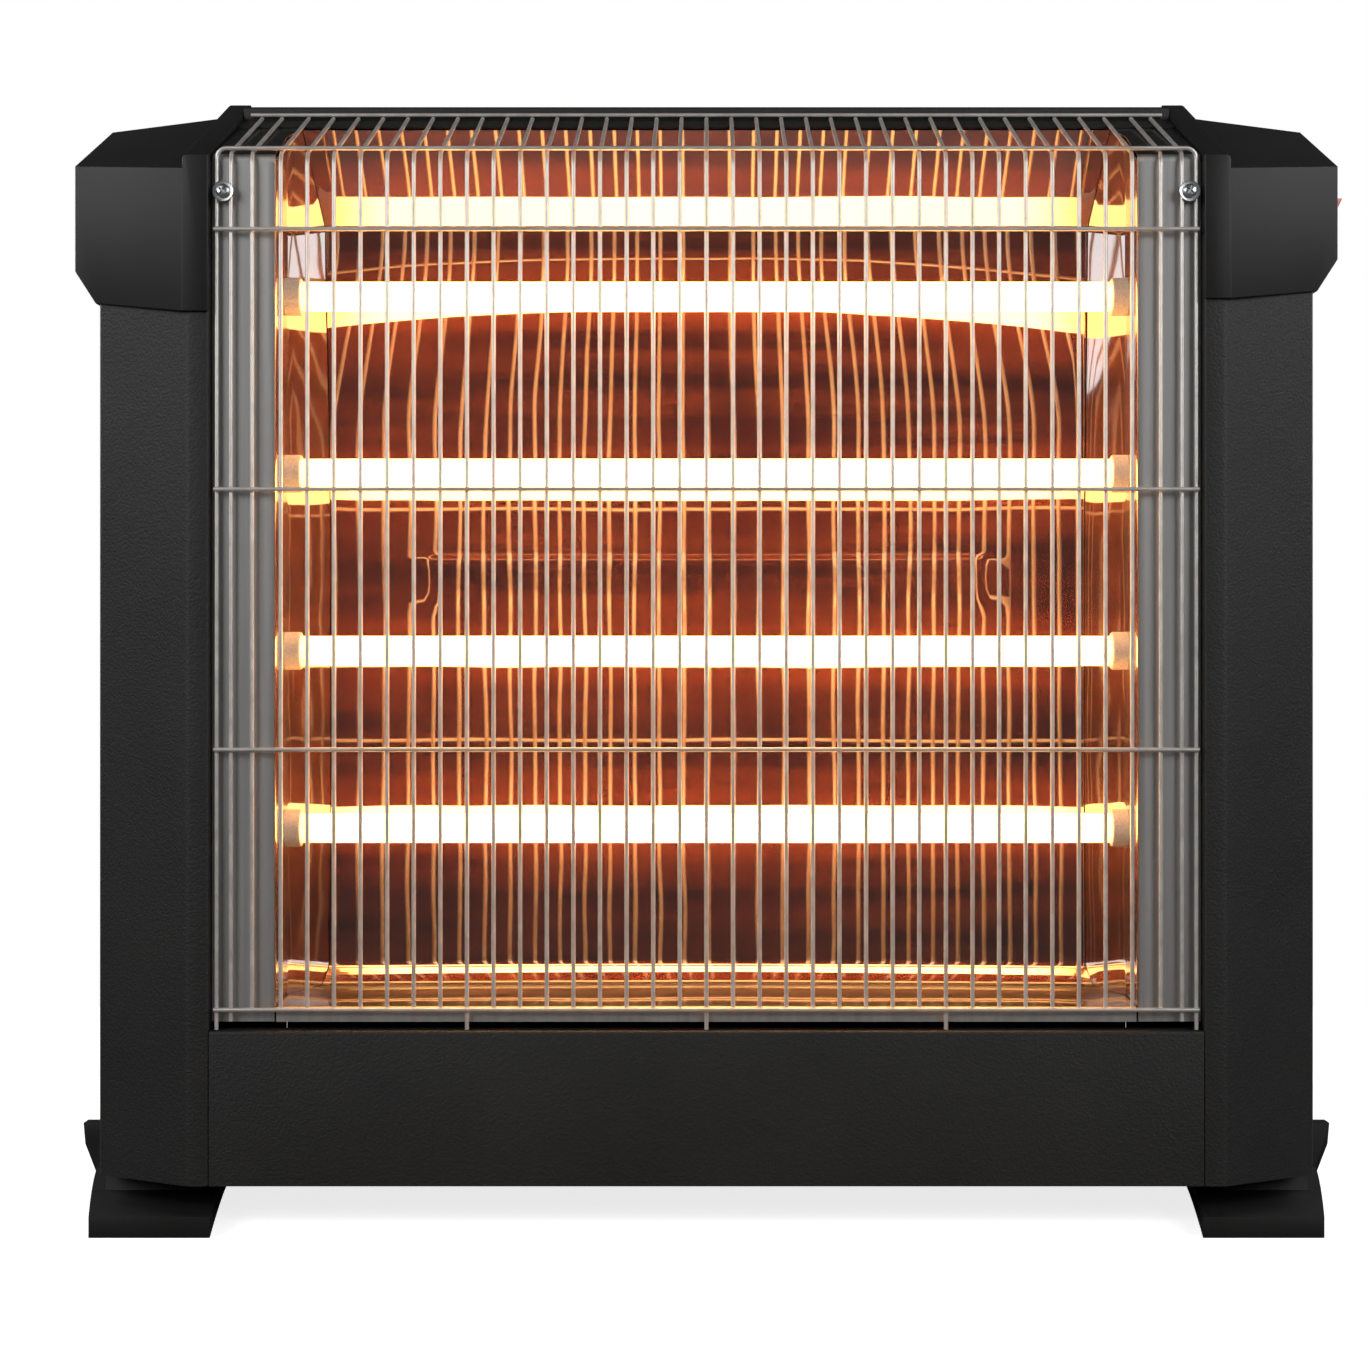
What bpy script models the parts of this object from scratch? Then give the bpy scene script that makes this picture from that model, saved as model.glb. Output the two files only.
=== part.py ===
"""Free standing quartz heater with a heated face at the front and another at the rear.

Metres, +Z up. The origin is on the floor under the middle of the heater. +X points to the
right of someone who faces the front, and the front looks along -Y. Most pieces come in
mirrored copies: side is -1 on the left and +1 on the right, face is -1 at the front and +1 at
the rear. Outlines are worked out in the positive quarter and then mirrored.
"""

import math

import bmesh
import bpy

SIDES = {"left": -1, "right": 1}
FACES = {"front": -1, "rear": 1}

# General sizes
FIT_GAP = 0.0003
MERGE_DISTANCE = 1e-6
SHEET = 0.001
OPENING_HALF_WIDTH = 0.229
BODY_HALF_DEPTH = 0.112

# Heights above the floor
FOOT_PLATE_HEIGHT = 0.0095
PEDESTAL_HEIGHT = 0.0101
LOWER_PANEL_HEIGHT = 0.0715
FLOOR_RISE = 0.0106
EAVE_HEIGHT = 0.489

# Feet
FOOT_HALF_LENGTH = 0.130
TOE_INNER = 0.225
TOE_OUTER = 0.280
FOOT_INNER_BOW = 0.0157
FOOT_OUTER_BOW = 0.026
FOOT_INNER_POWER = 1.1
FOOT_OUTER_POWER = 1.1
FOOT_STEPS = 12
PEDESTAL_HALF_LENGTH = 0.067
LUG_HALF_LENGTH = 0.005
LUG_HEIGHT = 0.031
LUG_REACH = 0.0262
LUG_KINK_HEIGHT = 0.0205
LUG_KINK_IN = 0.0009
LUG_LEAN = 0.007

# Columns
COLUMN_STRIP = 0.010
COLUMN_REACH = 0.0568
COLUMN_SIDE_HALF = 0.084
COLUMN_RETURN = 0.012
COLUMN_OVER_CAP_FLOOR = 0.004

# Caps
CAP_WALL = 0.002
CAP_PROUD = 0.0018
CAP_STRIP = 0.012
CAP_REACH = 0.070
CAP_SIDE_HALF = 0.0772
CAP_SKIRT = {"left": 0.0667, "right": 0.0609}
CAP_SKIRT_RISE = 0.0077
CAP_CORNER_REACH = 0.0115
CAP_CORNER_RISE = 0.0163
CAP_ROOF_SLOPE = 0.42
CAP_OUTWARD_FALL = 0.128
CAP_RIM_RISE = 0.0063

# Wire grilles
WIRE = 0.002
GRILLE_SETBACK = 0.0024
GRILLE_CORNER_RISE = 0.008
GRILLE_ROOF_SLOPE = 0.393
GRILLE_EDGE_GAP = 0.0031
EDGE_WIRE_PITCH = 0.0066
SECOND_WIRE_PITCH = 0.0098
LAST_FIELD_PITCH = 0.0132
FIELD_WIRES_PER_SIDE = 16
CROSS_WIRES = 4
BOTTOM_CROSS_RISE = 0.0096
TOP_CROSS_DROP = 0.0365
TAIL_WIRE_NUMBER = 9

# Ridge bar over both reflectors
RIDGE_HALF_WIDTH = 0.0225
RIDGE_HEIGHT_OVER_SLOPE = 0.0068
BAR_SKIRT = 0.018

# Reflectors and the side sheets between them and the columns
LIP_SETBACK = 0.005
LIP_HEIGHT = 0.007
FLANGE_SETBACK = 0.006
FLANGE_WIDTH = 0.030
WALL_KNEE_DEPTH = 0.050
WALL_KNEE_OUT = 0.002
WALL_BACK_IN = 0.0105
REFLECTOR_DEPTH = 0.0955
COVE_DEPTH = 0.004
COVE_HEIGHT = 0.009
HOOD_DROP = 0.0113
ROOF_FLAP_HEIGHT = 0.0015
PANEL_FLANGE = 0.012

# Quartz tubes and their ceramic ends
TUBES_PER_FACE = 4
TUBE_RADIUS = 0.007
TUBE_WALL = 0.001
TUBE_SETBACK = 0.045
LOWEST_TUBE_RISE = 0.0803
TOP_TUBE_DROP = 0.0532
CERAMIC_RADIUS = 0.009
CERAMIC_LENGTH = 0.022
CERAMIC_INSIDE = 0.0075
SOCKET_DEPTH = 0.012
PIN_RADIUS = 0.0017
PIN_PROUD = 0.004
COIL_RADIUS = 0.0035
COIL_END_GAP = 0.004
BUS_WIDTH = 0.003
ROUND_SIDES = 10

# Screws that clamp the grilles
SCREW_DROP = 0.011
SCREW_HEAD_RADIUS = 0.0038
SCREW_HEAD_HEIGHT = 0.0024
WASHER_RADIUS = 0.0045
WASHER_HEIGHT = 0.0008
SCREW_RADIUS = 0.0017
SCREW_POINT_BEHIND = 0.004

# Rocker switches in the right cap
SWITCH_PLACES = (-0.060, -0.038, 0.038, 0.060)
SWITCH_DROP = 0.0125
BEZEL_WIDTH = 0.015
BEZEL_HEIGHT = 0.021
BEZEL_THICKNESS = 0.0015
SWITCH_WIDTH = 0.0134
SWITCH_HEIGHT = 0.019
SWITCH_LENGTH = 0.020
ROCKER_WIDTH = 0.0104
ROCKER_HALF_LENGTH = 0.0078
ROCKER_CROWN = 0.0046
ROCKER_DIP = 0.0032
ROCKER_ROOT = 0.0045
ROCKER_HEEL_DEPTH = 0.0029
ROCKER_HEEL_PLACE = 0.0065
ROCKER_TILT = math.radians(12)
ROCKER_AXIS_INSET = 0.001
ROCKER_PIN_RADIUS = 0.001
ROCKER_PIN_REACH = 0.0007
SWING_CLEARANCE = 0.0011

# Pieces inside the right column, and the cord's bush
GLAND_HEIGHT = 0.045
GLAND_RADIUS = 0.008
GLAND_NECK_RADIUS = 0.0056
GLAND_BORE_RADIUS = 0.0035
GLAND_PROUD = 0.006
GLAND_INNER_FLANGE = 0.003
WIRING_INSET = 0.033
BLOCK_POLES = 5
BLOCK_PITCH = 0.010
BLOCK_WIDTH = 0.018
BLOCK_HEIGHT = 0.020
BLOCK_SLOT = 0.006
TIP_SWITCH_PLACE = 0.055
TIP_SWITCH_LENGTH = 0.028
TIP_SWITCH_WIDTH = 0.014
TIP_SWITCH_HEIGHT = 0.024
TIP_SWITCH_BOSS_RADIUS = 0.006
LOOM_WIDTH = 0.004
BRANCH_WIDTH = 0.003
LOOM_CROSSING_RISE = 0.040

# Heights and places that follow from the sizes above
BASE_TOP = FOOT_PLATE_HEIGHT + PEDESTAL_HEIGHT
BODY_BOTTOM = BASE_TOP + FIT_GAP
PANEL_TOP = BODY_BOTTOM + LOWER_PANEL_HEIGHT
REFLECTOR_FLOOR = PANEL_TOP + FLOOR_RISE
COLUMN_OUTER = OPENING_HALF_WIDTH + COLUMN_REACH
CAP_OUTER = OPENING_HALF_WIDTH + CAP_REACH
CAP_HALF_DEPTH = BODY_HALF_DEPTH + CAP_PROUD
CHAMFER_SLOPE = (CAP_HALF_DEPTH - CAP_SIDE_HALF) / (CAP_REACH - CAP_STRIP)
GRILLE_Y = BODY_HALF_DEPTH - GRILLE_SETBACK
GRILLE_CORNER_Z = EAVE_HEIGHT + GRILLE_CORNER_RISE
ROOF_COSINE = math.cos(math.atan(GRILLE_ROOF_SLOPE))
EDGE_WIRE_X = OPENING_HALF_WIDTH - GRILLE_EDGE_GAP
SECOND_WIRE_X = EDGE_WIRE_X - EDGE_WIRE_PITCH
THIRD_WIRE_X = SECOND_WIRE_X - SECOND_WIRE_PITCH
FIELD_PITCH = (THIRD_WIRE_X - LAST_FIELD_PITCH) / FIELD_WIRES_PER_SIDE
REFLECTOR_TOP = EAVE_HEIGHT - HOOD_DROP
CHAMBER_HALF_WIDTH = OPENING_HALF_WIDTH - FLANGE_WIDTH
TUBE_Y = BODY_HALF_DEPTH - TUBE_SETBACK
LOWEST_TUBE = REFLECTOR_FLOOR + LOWEST_TUBE_RISE
HIGHEST_TUBE = EAVE_HEIGHT - TOP_TUBE_DROP
TUBE_PITCH = (HIGHEST_TUBE - LOWEST_TUBE) / (TUBES_PER_FACE - 1)
TUBE_HEIGHTS = [LOWEST_TUBE + TUBE_PITCH * row for row in range(TUBES_PER_FACE)]
SWITCH_HEIGHT_ABOVE_FLOOR = EAVE_HEIGHT - SWITCH_DROP
COLUMN_MIDDLE = OPENING_HALF_WIDTH + WIRING_INSET


def clear_scene():
    for thing in list(bpy.data.objects):
        bpy.data.objects.remove(thing, do_unlink=True)


def finish(name, colour, roughness, metallic):
    """A plain material of the colour, roughness and metal of one kind of piece."""
    look = bpy.data.materials.get(name)
    if look is None:
        look = bpy.data.materials.new(name)
        look.use_nodes = True
        shader = look.node_tree.nodes["Principled BSDF"]
        shader.inputs["Base Color"].default_value = (*colour, 1.0)
        shader.inputs["Roughness"].default_value = roughness
        shader.inputs["Metallic"].default_value = metallic
    return look


def powder_coat():
    return finish("black_powder_coat", (0.020, 0.020, 0.019), 0.55, 0.0)


def black_plastic():
    return finish("black_plastic", (0.016, 0.016, 0.016), 0.45, 0.0)


def bright_steel():
    return finish("bright_reflector_steel", (0.62, 0.61, 0.59), 0.18, 1.0)


def chrome():
    return finish("chromed_wire", (0.70, 0.70, 0.69), 0.12, 1.0)


def galvanised_steel():
    return finish("galvanised_steel", (0.45, 0.46, 0.46), 0.40, 1.0)


def quartz():
    return finish("glowing_quartz", (1.0, 0.86, 0.62), 0.10, 0.0)


def resistance_wire():
    return finish("glowing_resistance_wire", (1.0, 0.45, 0.12), 0.50, 0.0)


def ceramic():
    return finish("white_steatite", (0.80, 0.76, 0.70), 0.60, 0.0)


def switch_red():
    return finish("clear_red_plastic", (0.55, 0.04, 0.02), 0.20, 0.0)


def moulded_nylon():
    return finish("moulded_nylon", (0.72, 0.71, 0.66), 0.50, 0.0)


def wire_insulation():
    return finish("silicone_insulation", (0.75, 0.74, 0.72), 0.70, 0.0)


def add_piece(name, shape, look, location=(0, 0, 0), rotation=(0, 0, 0)):
    """Turn a bmesh into a named object with its faces outwards."""
    bmesh.ops.recalc_face_normals(shape, faces=shape.faces)
    mesh = bpy.data.meshes.new(name)
    shape.to_mesh(mesh)
    shape.free()
    piece = bpy.data.objects.new(name, mesh)
    if look is not None:
        mesh.materials.append(look)
    piece.location = location
    piece.rotation_euler = rotation
    bpy.context.scene.collection.objects.link(piece)
    return piece


def shade_round(piece):
    piece.data.shade_smooth()
    piece.data.set_sharp_from_angle(angle=math.radians(50))


def combine(piece, operation, shape, location=(0, 0, 0), rotation=(0, 0, 0)):
    """Cut a shape from a piece, or join it on, with a hidden helper object."""
    helper = add_piece(f"{piece.name}_{operation.lower()}", shape, None, location, rotation)
    helper.hide_render = True
    helper.display_type = "WIRE"
    change = piece.modifiers.new(helper.name, "BOOLEAN")
    change.operation = operation
    change.solver = "EXACT"
    change.object = helper


def cut(piece, shape, location=(0, 0, 0), rotation=(0, 0, 0)):
    combine(piece, "DIFFERENCE", shape, location, rotation)


def join(piece, shape, location=(0, 0, 0), rotation=(0, 0, 0)):
    combine(piece, "UNION", shape, location, rotation)


def extent(value, a, b):
    return value(a, b) if callable(value) else value


def prism(outline, low, high, axis="Z", shape=None):
    """Push a flat outline along an axis, from low to high.

    The outline holds the two other coordinates in x, y, z order. Low and high are numbers, or
    functions of those two coordinates where an end is sloped.
    """
    shape = shape or bmesh.new()
    order = {"X": (2, 0, 1), "Y": (0, 2, 1), "Z": (0, 1, 2)}[axis]

    def ring(end):
        corners = []
        for a, b in outline:
            values = (a, b, extent(end, a, b))
            corners.append(shape.verts.new([values[index] for index in order]))
        return corners

    bottom = ring(low)
    top = ring(high)
    shape.faces.new(bottom)
    shape.faces.new(top)
    for index in range(len(outline)):
        after = (index + 1) % len(outline)
        shape.faces.new((bottom[index], bottom[after], top[after], top[index]))
    return shape


def box(x_range, y_range, z_range, shape=None):
    corners = [(x, y) for x, y in zip((0, 1, 1, 0), (0, 0, 1, 1))]
    outline = [(x_range[a], y_range[b]) for a, b in corners]
    return prism(outline, z_range[0], z_range[1], "Z", shape)


def around(middle, width):
    return (middle - width / 2, middle + width / 2)


def signed(side, near, far):
    """A range on one side of the middle, given by two distances from it."""
    return tuple(sorted((side * near, side * far)))


def mirrored(outline, first=1, second=1):
    return [(first * a, second * b) for a, b in outline]


def thickened(path, thickness):
    """The outline of a bent sheet whose thickness lies to the left of its path."""
    normals = []
    for (a0, b0), (a1, b1) in zip(path, path[1:]):
        length = math.hypot(a1 - a0, b1 - b0)
        normals.append(((b0 - b1) / length, (a1 - a0) / length))
    inner = []
    for index, (a, b) in enumerate(path):
        before = normals[max(index - 1, 0)]
        after = normals[min(index, len(normals) - 1)]
        share = thickness / (1 + before[0] * after[0] + before[1] * after[1])
        inner.append((a + share * (before[0] + after[0]), b + share * (before[1] + after[1])))
    return list(path) + inner[::-1]


def turned(profile, sides, ring=False, shape=None, centre=(0, 0, 0)):
    """A turned solid along X, from its points of x and radius. A ring has a bore right through."""
    shape = shape or bmesh.new()
    loops = []
    for x, radius in profile:
        loop = []
        for step in range(sides):
            angle = 2 * math.pi * (step + 0.5) / sides
            place = (x, radius * math.cos(angle), radius * math.sin(angle))
            loop.append(shape.verts.new([a + b for a, b in zip(place, centre)]))
        loops.append(loop)
    if ring:
        loops.append(loops[0])
    else:
        shape.faces.new(loops[0])
        shape.faces.new(loops[-1])
    for first, second in zip(loops, loops[1:]):
        for index in range(sides):
            after = (index + 1) % sides
            shape.faces.new((first[index], first[after], second[after], second[index]))
    return shape


def gabled(sections):
    """A loft along X through gabled sections.

    Each section is x, half depth, low, shoulder, eave and ridge height. The shoulder is where
    the next section's eave meets this one's wall, and equals the eave elsewhere.
    """
    shape = bmesh.new()
    loops = []
    for x, half, low, shoulder, eave, ridge in sections:
        corners = (
            (-half, low),
            (half, low),
            (half, shoulder),
            (half, eave),
            (0, ridge),
            (-half, eave),
            (-half, shoulder),
        )
        loops.append([shape.verts.new((x, y, z)) for y, z in corners])
    shape.faces.new(loops[0])
    shape.faces.new(loops[-1])
    for first, second in zip(loops, loops[1:]):
        for index in range(len(first)):
            after = (index + 1) % len(first)
            shape.faces.new((first[index], first[after], second[after], second[index]))
    bmesh.ops.remove_doubles(shape, verts=shape.verts, dist=MERGE_DISTANCE)
    return shape


def grille_roof(y, below=0.0):
    """Height of the grille's sloping top at a distance from the middle, or of a line below it."""
    return GRILLE_CORNER_Z + GRILLE_ROOF_SLOPE * (GRILLE_Y - y) - below / ROOF_COSINE


def column_path():
    """Outside of a column cover from above, from the front return round to the rear one."""
    front = [
        (OPENING_HALF_WIDTH, -BODY_HALF_DEPTH + COLUMN_RETURN),
        (OPENING_HALF_WIDTH, -BODY_HALF_DEPTH),
        (OPENING_HALF_WIDTH + COLUMN_STRIP, -BODY_HALF_DEPTH),
        (COLUMN_OUTER, -COLUMN_SIDE_HALF),
    ]
    return front + [(x, -y) for x, y in reversed(front)]


def column_chamfer_x(y, inset):
    """Where a line inside the column's chamfer, at an inset from it, passes a distance y."""
    run = COLUMN_REACH - COLUMN_STRIP
    rise = BODY_HALF_DEPTH - COLUMN_SIDE_HALF
    along = (BODY_HALF_DEPTH - y) / rise
    return OPENING_HALF_WIDTH + COLUMN_STRIP + run * along - inset * math.hypot(run, rise) / rise


def chamber_half_width(depth):
    """Inner face of a side sheet, as its distance from the middle at a depth behind the front.

    In front of the flange it keeps the flange's value, and behind the sheet its line runs on.
    """
    flange, knee, back = [(x, BODY_HALF_DEPTH - y) for x, y in side_sheet_path()[1:]]
    start, end = (flange, knee) if depth < knee[1] else (knee, back)
    share = (max(depth, flange[1]) - start[1]) / (end[1] - start[1])
    return start[0] + (end[0] - start[0]) * share


def side_sheet_path():
    """A side sheet from above: the flange, and the wall that closes in towards the back."""
    return [
        (OPENING_HALF_WIDTH - FIT_GAP, BODY_HALF_DEPTH - FLANGE_SETBACK),
        (CHAMBER_HALF_WIDTH, BODY_HALF_DEPTH - FLANGE_SETBACK),
        (CHAMBER_HALF_WIDTH + WALL_KNEE_OUT, BODY_HALF_DEPTH - WALL_KNEE_DEPTH),
        (CHAMBER_HALF_WIDTH - WALL_BACK_IN, BODY_HALF_DEPTH - REFLECTOR_DEPTH + FIT_GAP),
    ]


def foot_edge(y, toe, bow, power):
    return toe + bow * (1 - abs(y / FOOT_HALF_LENGTH) ** power)


def make_foot(name, side):
    """A bowed plate, with a pedestal under the column and a thin lug outside the column."""
    stations = [
        FOOT_HALF_LENGTH * (2 * step / FOOT_STEPS - 1) for step in range(FOOT_STEPS + 1)
    ]
    inner = [(foot_edge(y, TOE_INNER, FOOT_INNER_BOW, FOOT_INNER_POWER), y) for y in stations]
    outer = [(foot_edge(y, TOE_OUTER, FOOT_OUTER_BOW, FOOT_OUTER_POWER), y) for y in stations]
    outline = mirrored(inner + outer[::-1], side)
    foot = add_piece(name, prism(outline, 0, FOOT_PLATE_HEIGHT), black_plastic())
    sunk = FOOT_PLATE_HEIGHT / 2
    pedestal_inner = foot_edge(0, TOE_INNER, FOOT_INNER_BOW, FOOT_INNER_POWER) + SHEET
    pedestal = box(
        signed(side, pedestal_inner, COLUMN_OUTER + FIT_GAP + SHEET),
        around(0, 2 * PEDESTAL_HALF_LENGTH),
        (sunk, BASE_TOP),
    )
    join(foot, pedestal)
    inner_x = COLUMN_OUTER + FIT_GAP
    lug = [
        (inner_x, sunk),
        (inner_x + LUG_REACH - LUG_LEAN, sunk),
        (inner_x + LUG_REACH - LUG_KINK_IN, LUG_KINK_HEIGHT),
        (inner_x + LUG_REACH, LUG_HEIGHT),
        (inner_x, LUG_HEIGHT),
    ]
    join(foot, prism(mirrored(lug, side), -LUG_HALF_LENGTH, LUG_HALF_LENGTH, "Y"))
    return foot


def cap_inside_floor(side_name):
    """Height of the ledge inside a cap, just above its sloping lower corner."""
    bottom = EAVE_HEIGHT - CAP_SKIRT[side_name]
    return bottom + CAP_SKIRT_RISE + CAP_CORNER_RISE + CAP_WALL


def column_top(side_name):
    return cap_inside_floor(side_name) + COLUMN_OVER_CAP_FLOOR


def make_column_cover(name, side_name, side):
    """A folded sheet that is open towards the middle. The right one has the hole for the cord."""
    outline = mirrored(thickened(column_path(), SHEET), side)
    cover = add_piece(name, prism(outline, BODY_BOTTOM, column_top(side_name)), powder_coat())
    if side_name == "right":
        radius = GLAND_NECK_RADIUS + FIT_GAP
        hole = turned([(-GLAND_RADIUS, radius), (GLAND_RADIUS, radius)], ROUND_SIDES)
        cut(cover, hole, gland_place(), (0, 0, gland_angle()))
    return cover


def column_socket():
    """The column's outline with a fit gap round it, open past the cap's inner face."""
    outside = column_path()[1:-1]
    grown = thickened(outside, -FIT_GAP)[len(outside):]
    open_end = OPENING_HALF_WIDTH - COLUMN_STRIP
    outer_y = BODY_HALF_DEPTH + FIT_GAP
    return [(open_end, outer_y)] + grown[1:-1] + [(open_end, -outer_y)]


def cap_half_depth(x, inset=0.0):
    """Half the cap's depth at a distance from the middle, or that of a line inside its wall."""
    chamfer = CAP_HALF_DEPTH - CHAMFER_SLOPE * (x - OPENING_HALF_WIDTH - CAP_STRIP)
    chamfer -= inset * math.hypot(1, CHAMFER_SLOPE)
    return min(CAP_HALF_DEPTH - inset, chamfer)


def cap_roof(x, y):
    fall = CAP_OUTWARD_FALL * (x - OPENING_HALF_WIDTH - CAP_STRIP)
    return EAVE_HEIGHT + CAP_ROOF_SLOPE * (BODY_HALF_DEPTH - y) - fall


def cap_section(side, x, low, rise=0.0, inset=0.0):
    half = cap_half_depth(x, inset)
    eave = cap_roof(x, half) - inset
    ridge = cap_roof(x, 0) - inset
    return (side * x, half, low, eave, eave + rise, ridge + rise)


def make_cap(name, side_name, side):
    """A hollow moulding with a pitched top and a raised rim beside the grilles."""
    bottom = EAVE_HEIGHT - CAP_SKIRT[side_name]
    rim_edge = OPENING_HALF_WIDTH + CAP_STRIP
    corner_x = CAP_OUTER - CAP_CORNER_REACH
    corner_top = bottom + CAP_SKIRT_RISE + CAP_CORNER_RISE
    rim_inner = cap_section(side, OPENING_HALF_WIDTH, bottom, CAP_RIM_RISE)
    rim_outer = cap_section(side, rim_edge, bottom, CAP_RIM_RISE)
    outside = [
        (*rim_inner[:3], rim_outer[3], *rim_outer[4:]),
        rim_outer,
        cap_section(side, rim_edge, bottom),
        cap_section(side, corner_x, bottom + CAP_SKIRT_RISE),
        cap_section(side, CAP_OUTER, corner_top),
    ]
    cap = add_piece(name, gabled(outside), black_plastic())
    bend = rim_edge - CAP_WALL * (math.hypot(1, CHAMFER_SLOPE) - 1) / CHAMFER_SLOPE
    hollow = [
        cap_section(side, x, cap_inside_floor(side_name), inset=CAP_WALL)
        for x in (OPENING_HALF_WIDTH + CAP_WALL, bend, CAP_OUTER - CAP_WALL)
    ]
    cut(cap, gabled(hollow))
    top = column_top(side_name) + FIT_GAP
    cut(cap, prism(mirrored(column_socket(), side), bottom - CAP_WALL, top))
    if side_name == "right":
        for place in SWITCH_PLACES:
            window = box(
                (CAP_OUTER - 2 * CAP_WALL, CAP_OUTER + CAP_WALL),
                around(place, SWITCH_WIDTH + 2 * FIT_GAP),
                around(SWITCH_HEIGHT_ABOVE_FLOOR, SWITCH_HEIGHT + 2 * FIT_GAP),
            )
            cut(cap, window)
    return cap


def make_top_bar():
    """The folded ridge bar. Its sloping skirts carry the ends of both grilles."""
    below = WIRE / 2 + FIT_GAP
    skirt_end = RIDGE_HALF_WIDTH + BAR_SKIRT
    half = [
        (skirt_end, grille_roof(skirt_end, below)),
        (RIDGE_HALF_WIDTH, grille_roof(RIDGE_HALF_WIDTH, below)),
        (RIDGE_HALF_WIDTH, grille_roof(RIDGE_HALF_WIDTH, below) + RIDGE_HEIGHT_OVER_SLOPE),
    ]
    path = half + [(-y, z) for y, z in reversed(half)]
    reach = OPENING_HALF_WIDTH - FIT_GAP
    return add_piece("top_bar", prism(thickened(path, SHEET), -reach, reach, "X"), powder_coat())


def make_lower_panel(name, face):
    """A folded panel below the reflector, with a flange on which the grille's tails stand."""
    path = [
        (BODY_HALF_DEPTH, BODY_BOTTOM),
        (BODY_HALF_DEPTH, PANEL_TOP),
        (BODY_HALF_DEPTH - PANEL_FLANGE, PANEL_TOP),
    ]
    reach = OPENING_HALF_WIDTH - FIT_GAP
    outline = mirrored(thickened(path, SHEET), face)
    return add_piece(name, prism(outline, -reach, reach, "X"), powder_coat())


def make_bottom_plate():
    """The base pan inside the panels and columns. It lies on both feet."""
    inset = SHEET + FIT_GAP
    panel_y = BODY_HALF_DEPTH - inset
    return_y = BODY_HALF_DEPTH - COLUMN_RETURN - FIT_GAP
    panel_x = OPENING_HALF_WIDTH - 2 * FIT_GAP
    side_x = COLUMN_OUTER - inset
    chamfer_run = column_chamfer_x(0, 0) - column_chamfer_x(1, 0)
    side_y = (column_chamfer_x(0, inset) - side_x) / chamfer_run
    quarter = [
        (panel_x, panel_y),
        (panel_x, return_y),
        (column_chamfer_x(return_y, inset), return_y),
        (side_x, side_y),
    ]
    right = quarter + mirrored(quarter[::-1], 1, -1)
    outline = right + mirrored(right[::-1], -1)
    plate = prism(outline, BODY_BOTTOM, BODY_BOTTOM + SHEET)
    return add_piece("bottom_plate", plate, galvanised_steel())


def make_reflector(name, face):
    """The bright sheet behind four tubes: a lip, a floor, a cove, a back and a leaning hood."""
    back = BODY_HALF_DEPTH - REFLECTOR_DEPTH
    lip = BODY_HALF_DEPTH - LIP_SETBACK
    hood_y = RIDGE_HALF_WIDTH + BAR_SKIRT
    hood_z = grille_roof(hood_y, WIRE / 2 + 3 * FIT_GAP + SHEET) - SHEET
    path = [
        (lip, REFLECTOR_FLOOR - LIP_HEIGHT),
        (lip, REFLECTOR_FLOOR),
        (BODY_HALF_DEPTH - WALL_KNEE_DEPTH, REFLECTOR_FLOOR),
        (back + COVE_DEPTH, REFLECTOR_FLOOR),
        (back, REFLECTOR_FLOOR + COVE_HEIGHT),
        (back, REFLECTOR_TOP),
        (hood_y, hood_z),
    ]

    def right_end(y, z):
        return chamber_half_width(BODY_HALF_DEPTH - abs(y)) - FIT_GAP

    def left_end(y, z):
        return -right_end(y, z)

    outline = mirrored(thickened(path, SHEET), face)
    return add_piece(name, prism(outline, left_end, right_end, "X"), bright_steel())


def make_side_sheet(name, side, face):
    """The bright sheet at one end of a reflector, with holes for the ceramics and a screw.

    A flap along the grille's sloping top covers the space between the flange and the wall.
    """
    below = WIRE / 2 + 2 * FIT_GAP

    def top(x, y):
        return grille_roof(abs(y), below + SHEET)

    def flap_inner(y, z):
        return side * (chamber_half_width(BODY_HALF_DEPTH - abs(y)) + SHEET / 2)

    def flap_outer(y, z):
        return side * (OPENING_HALF_WIDTH - FIT_GAP)

    def flap(y):
        return (y, grille_roof(y, below))

    outline = mirrored(thickened(side_sheet_path(), SHEET), side, face)
    low = REFLECTOR_FLOOR - LIP_HEIGHT
    sheet = add_piece(name, prism(outline, low, top), bright_steel())
    knee = BODY_HALF_DEPTH - WALL_KNEE_DEPTH
    upper = [flap(BODY_HALF_DEPTH - FLANGE_SETBACK), flap(knee)]
    upper.append(flap(RIDGE_HALF_WIDTH + BAR_SKIRT + FIT_GAP))
    lower = [(y, z - ROOF_FLAP_HEIGHT) for y, z in reversed(upper)]
    ends = (flap_inner, flap_outer) if side > 0 else (flap_outer, flap_inner)
    join(sheet, prism(mirrored(upper + lower, face), *ends, "X"))
    holes = bmesh.new()
    reach = CERAMIC_LENGTH / 2
    wall_x = chamber_half_width(TUBE_SETBACK)
    radius = CERAMIC_RADIUS + FIT_GAP
    for height in TUBE_HEIGHTS:
        profile = [(-reach, radius), (reach, radius)]
        turned(profile, ROUND_SIDES, shape=holes, centre=(side * wall_x, face * TUBE_Y, height))
    cut(sheet, holes)
    radius = SCREW_RADIUS + FIT_GAP
    hole = turned([(-FLANGE_SETBACK, radius), (FLANGE_SETBACK, radius)], ROUND_SIDES)
    place = (side * screw_x(), face * (BODY_HALF_DEPTH - FLANGE_SETBACK), EAVE_HEIGHT - SCREW_DROP)
    cut(sheet, hole, place, (0, 0, math.pi / 2))
    return sheet


def screw_x():
    return (EDGE_WIRE_X + SECOND_WIRE_X) / 2


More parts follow.
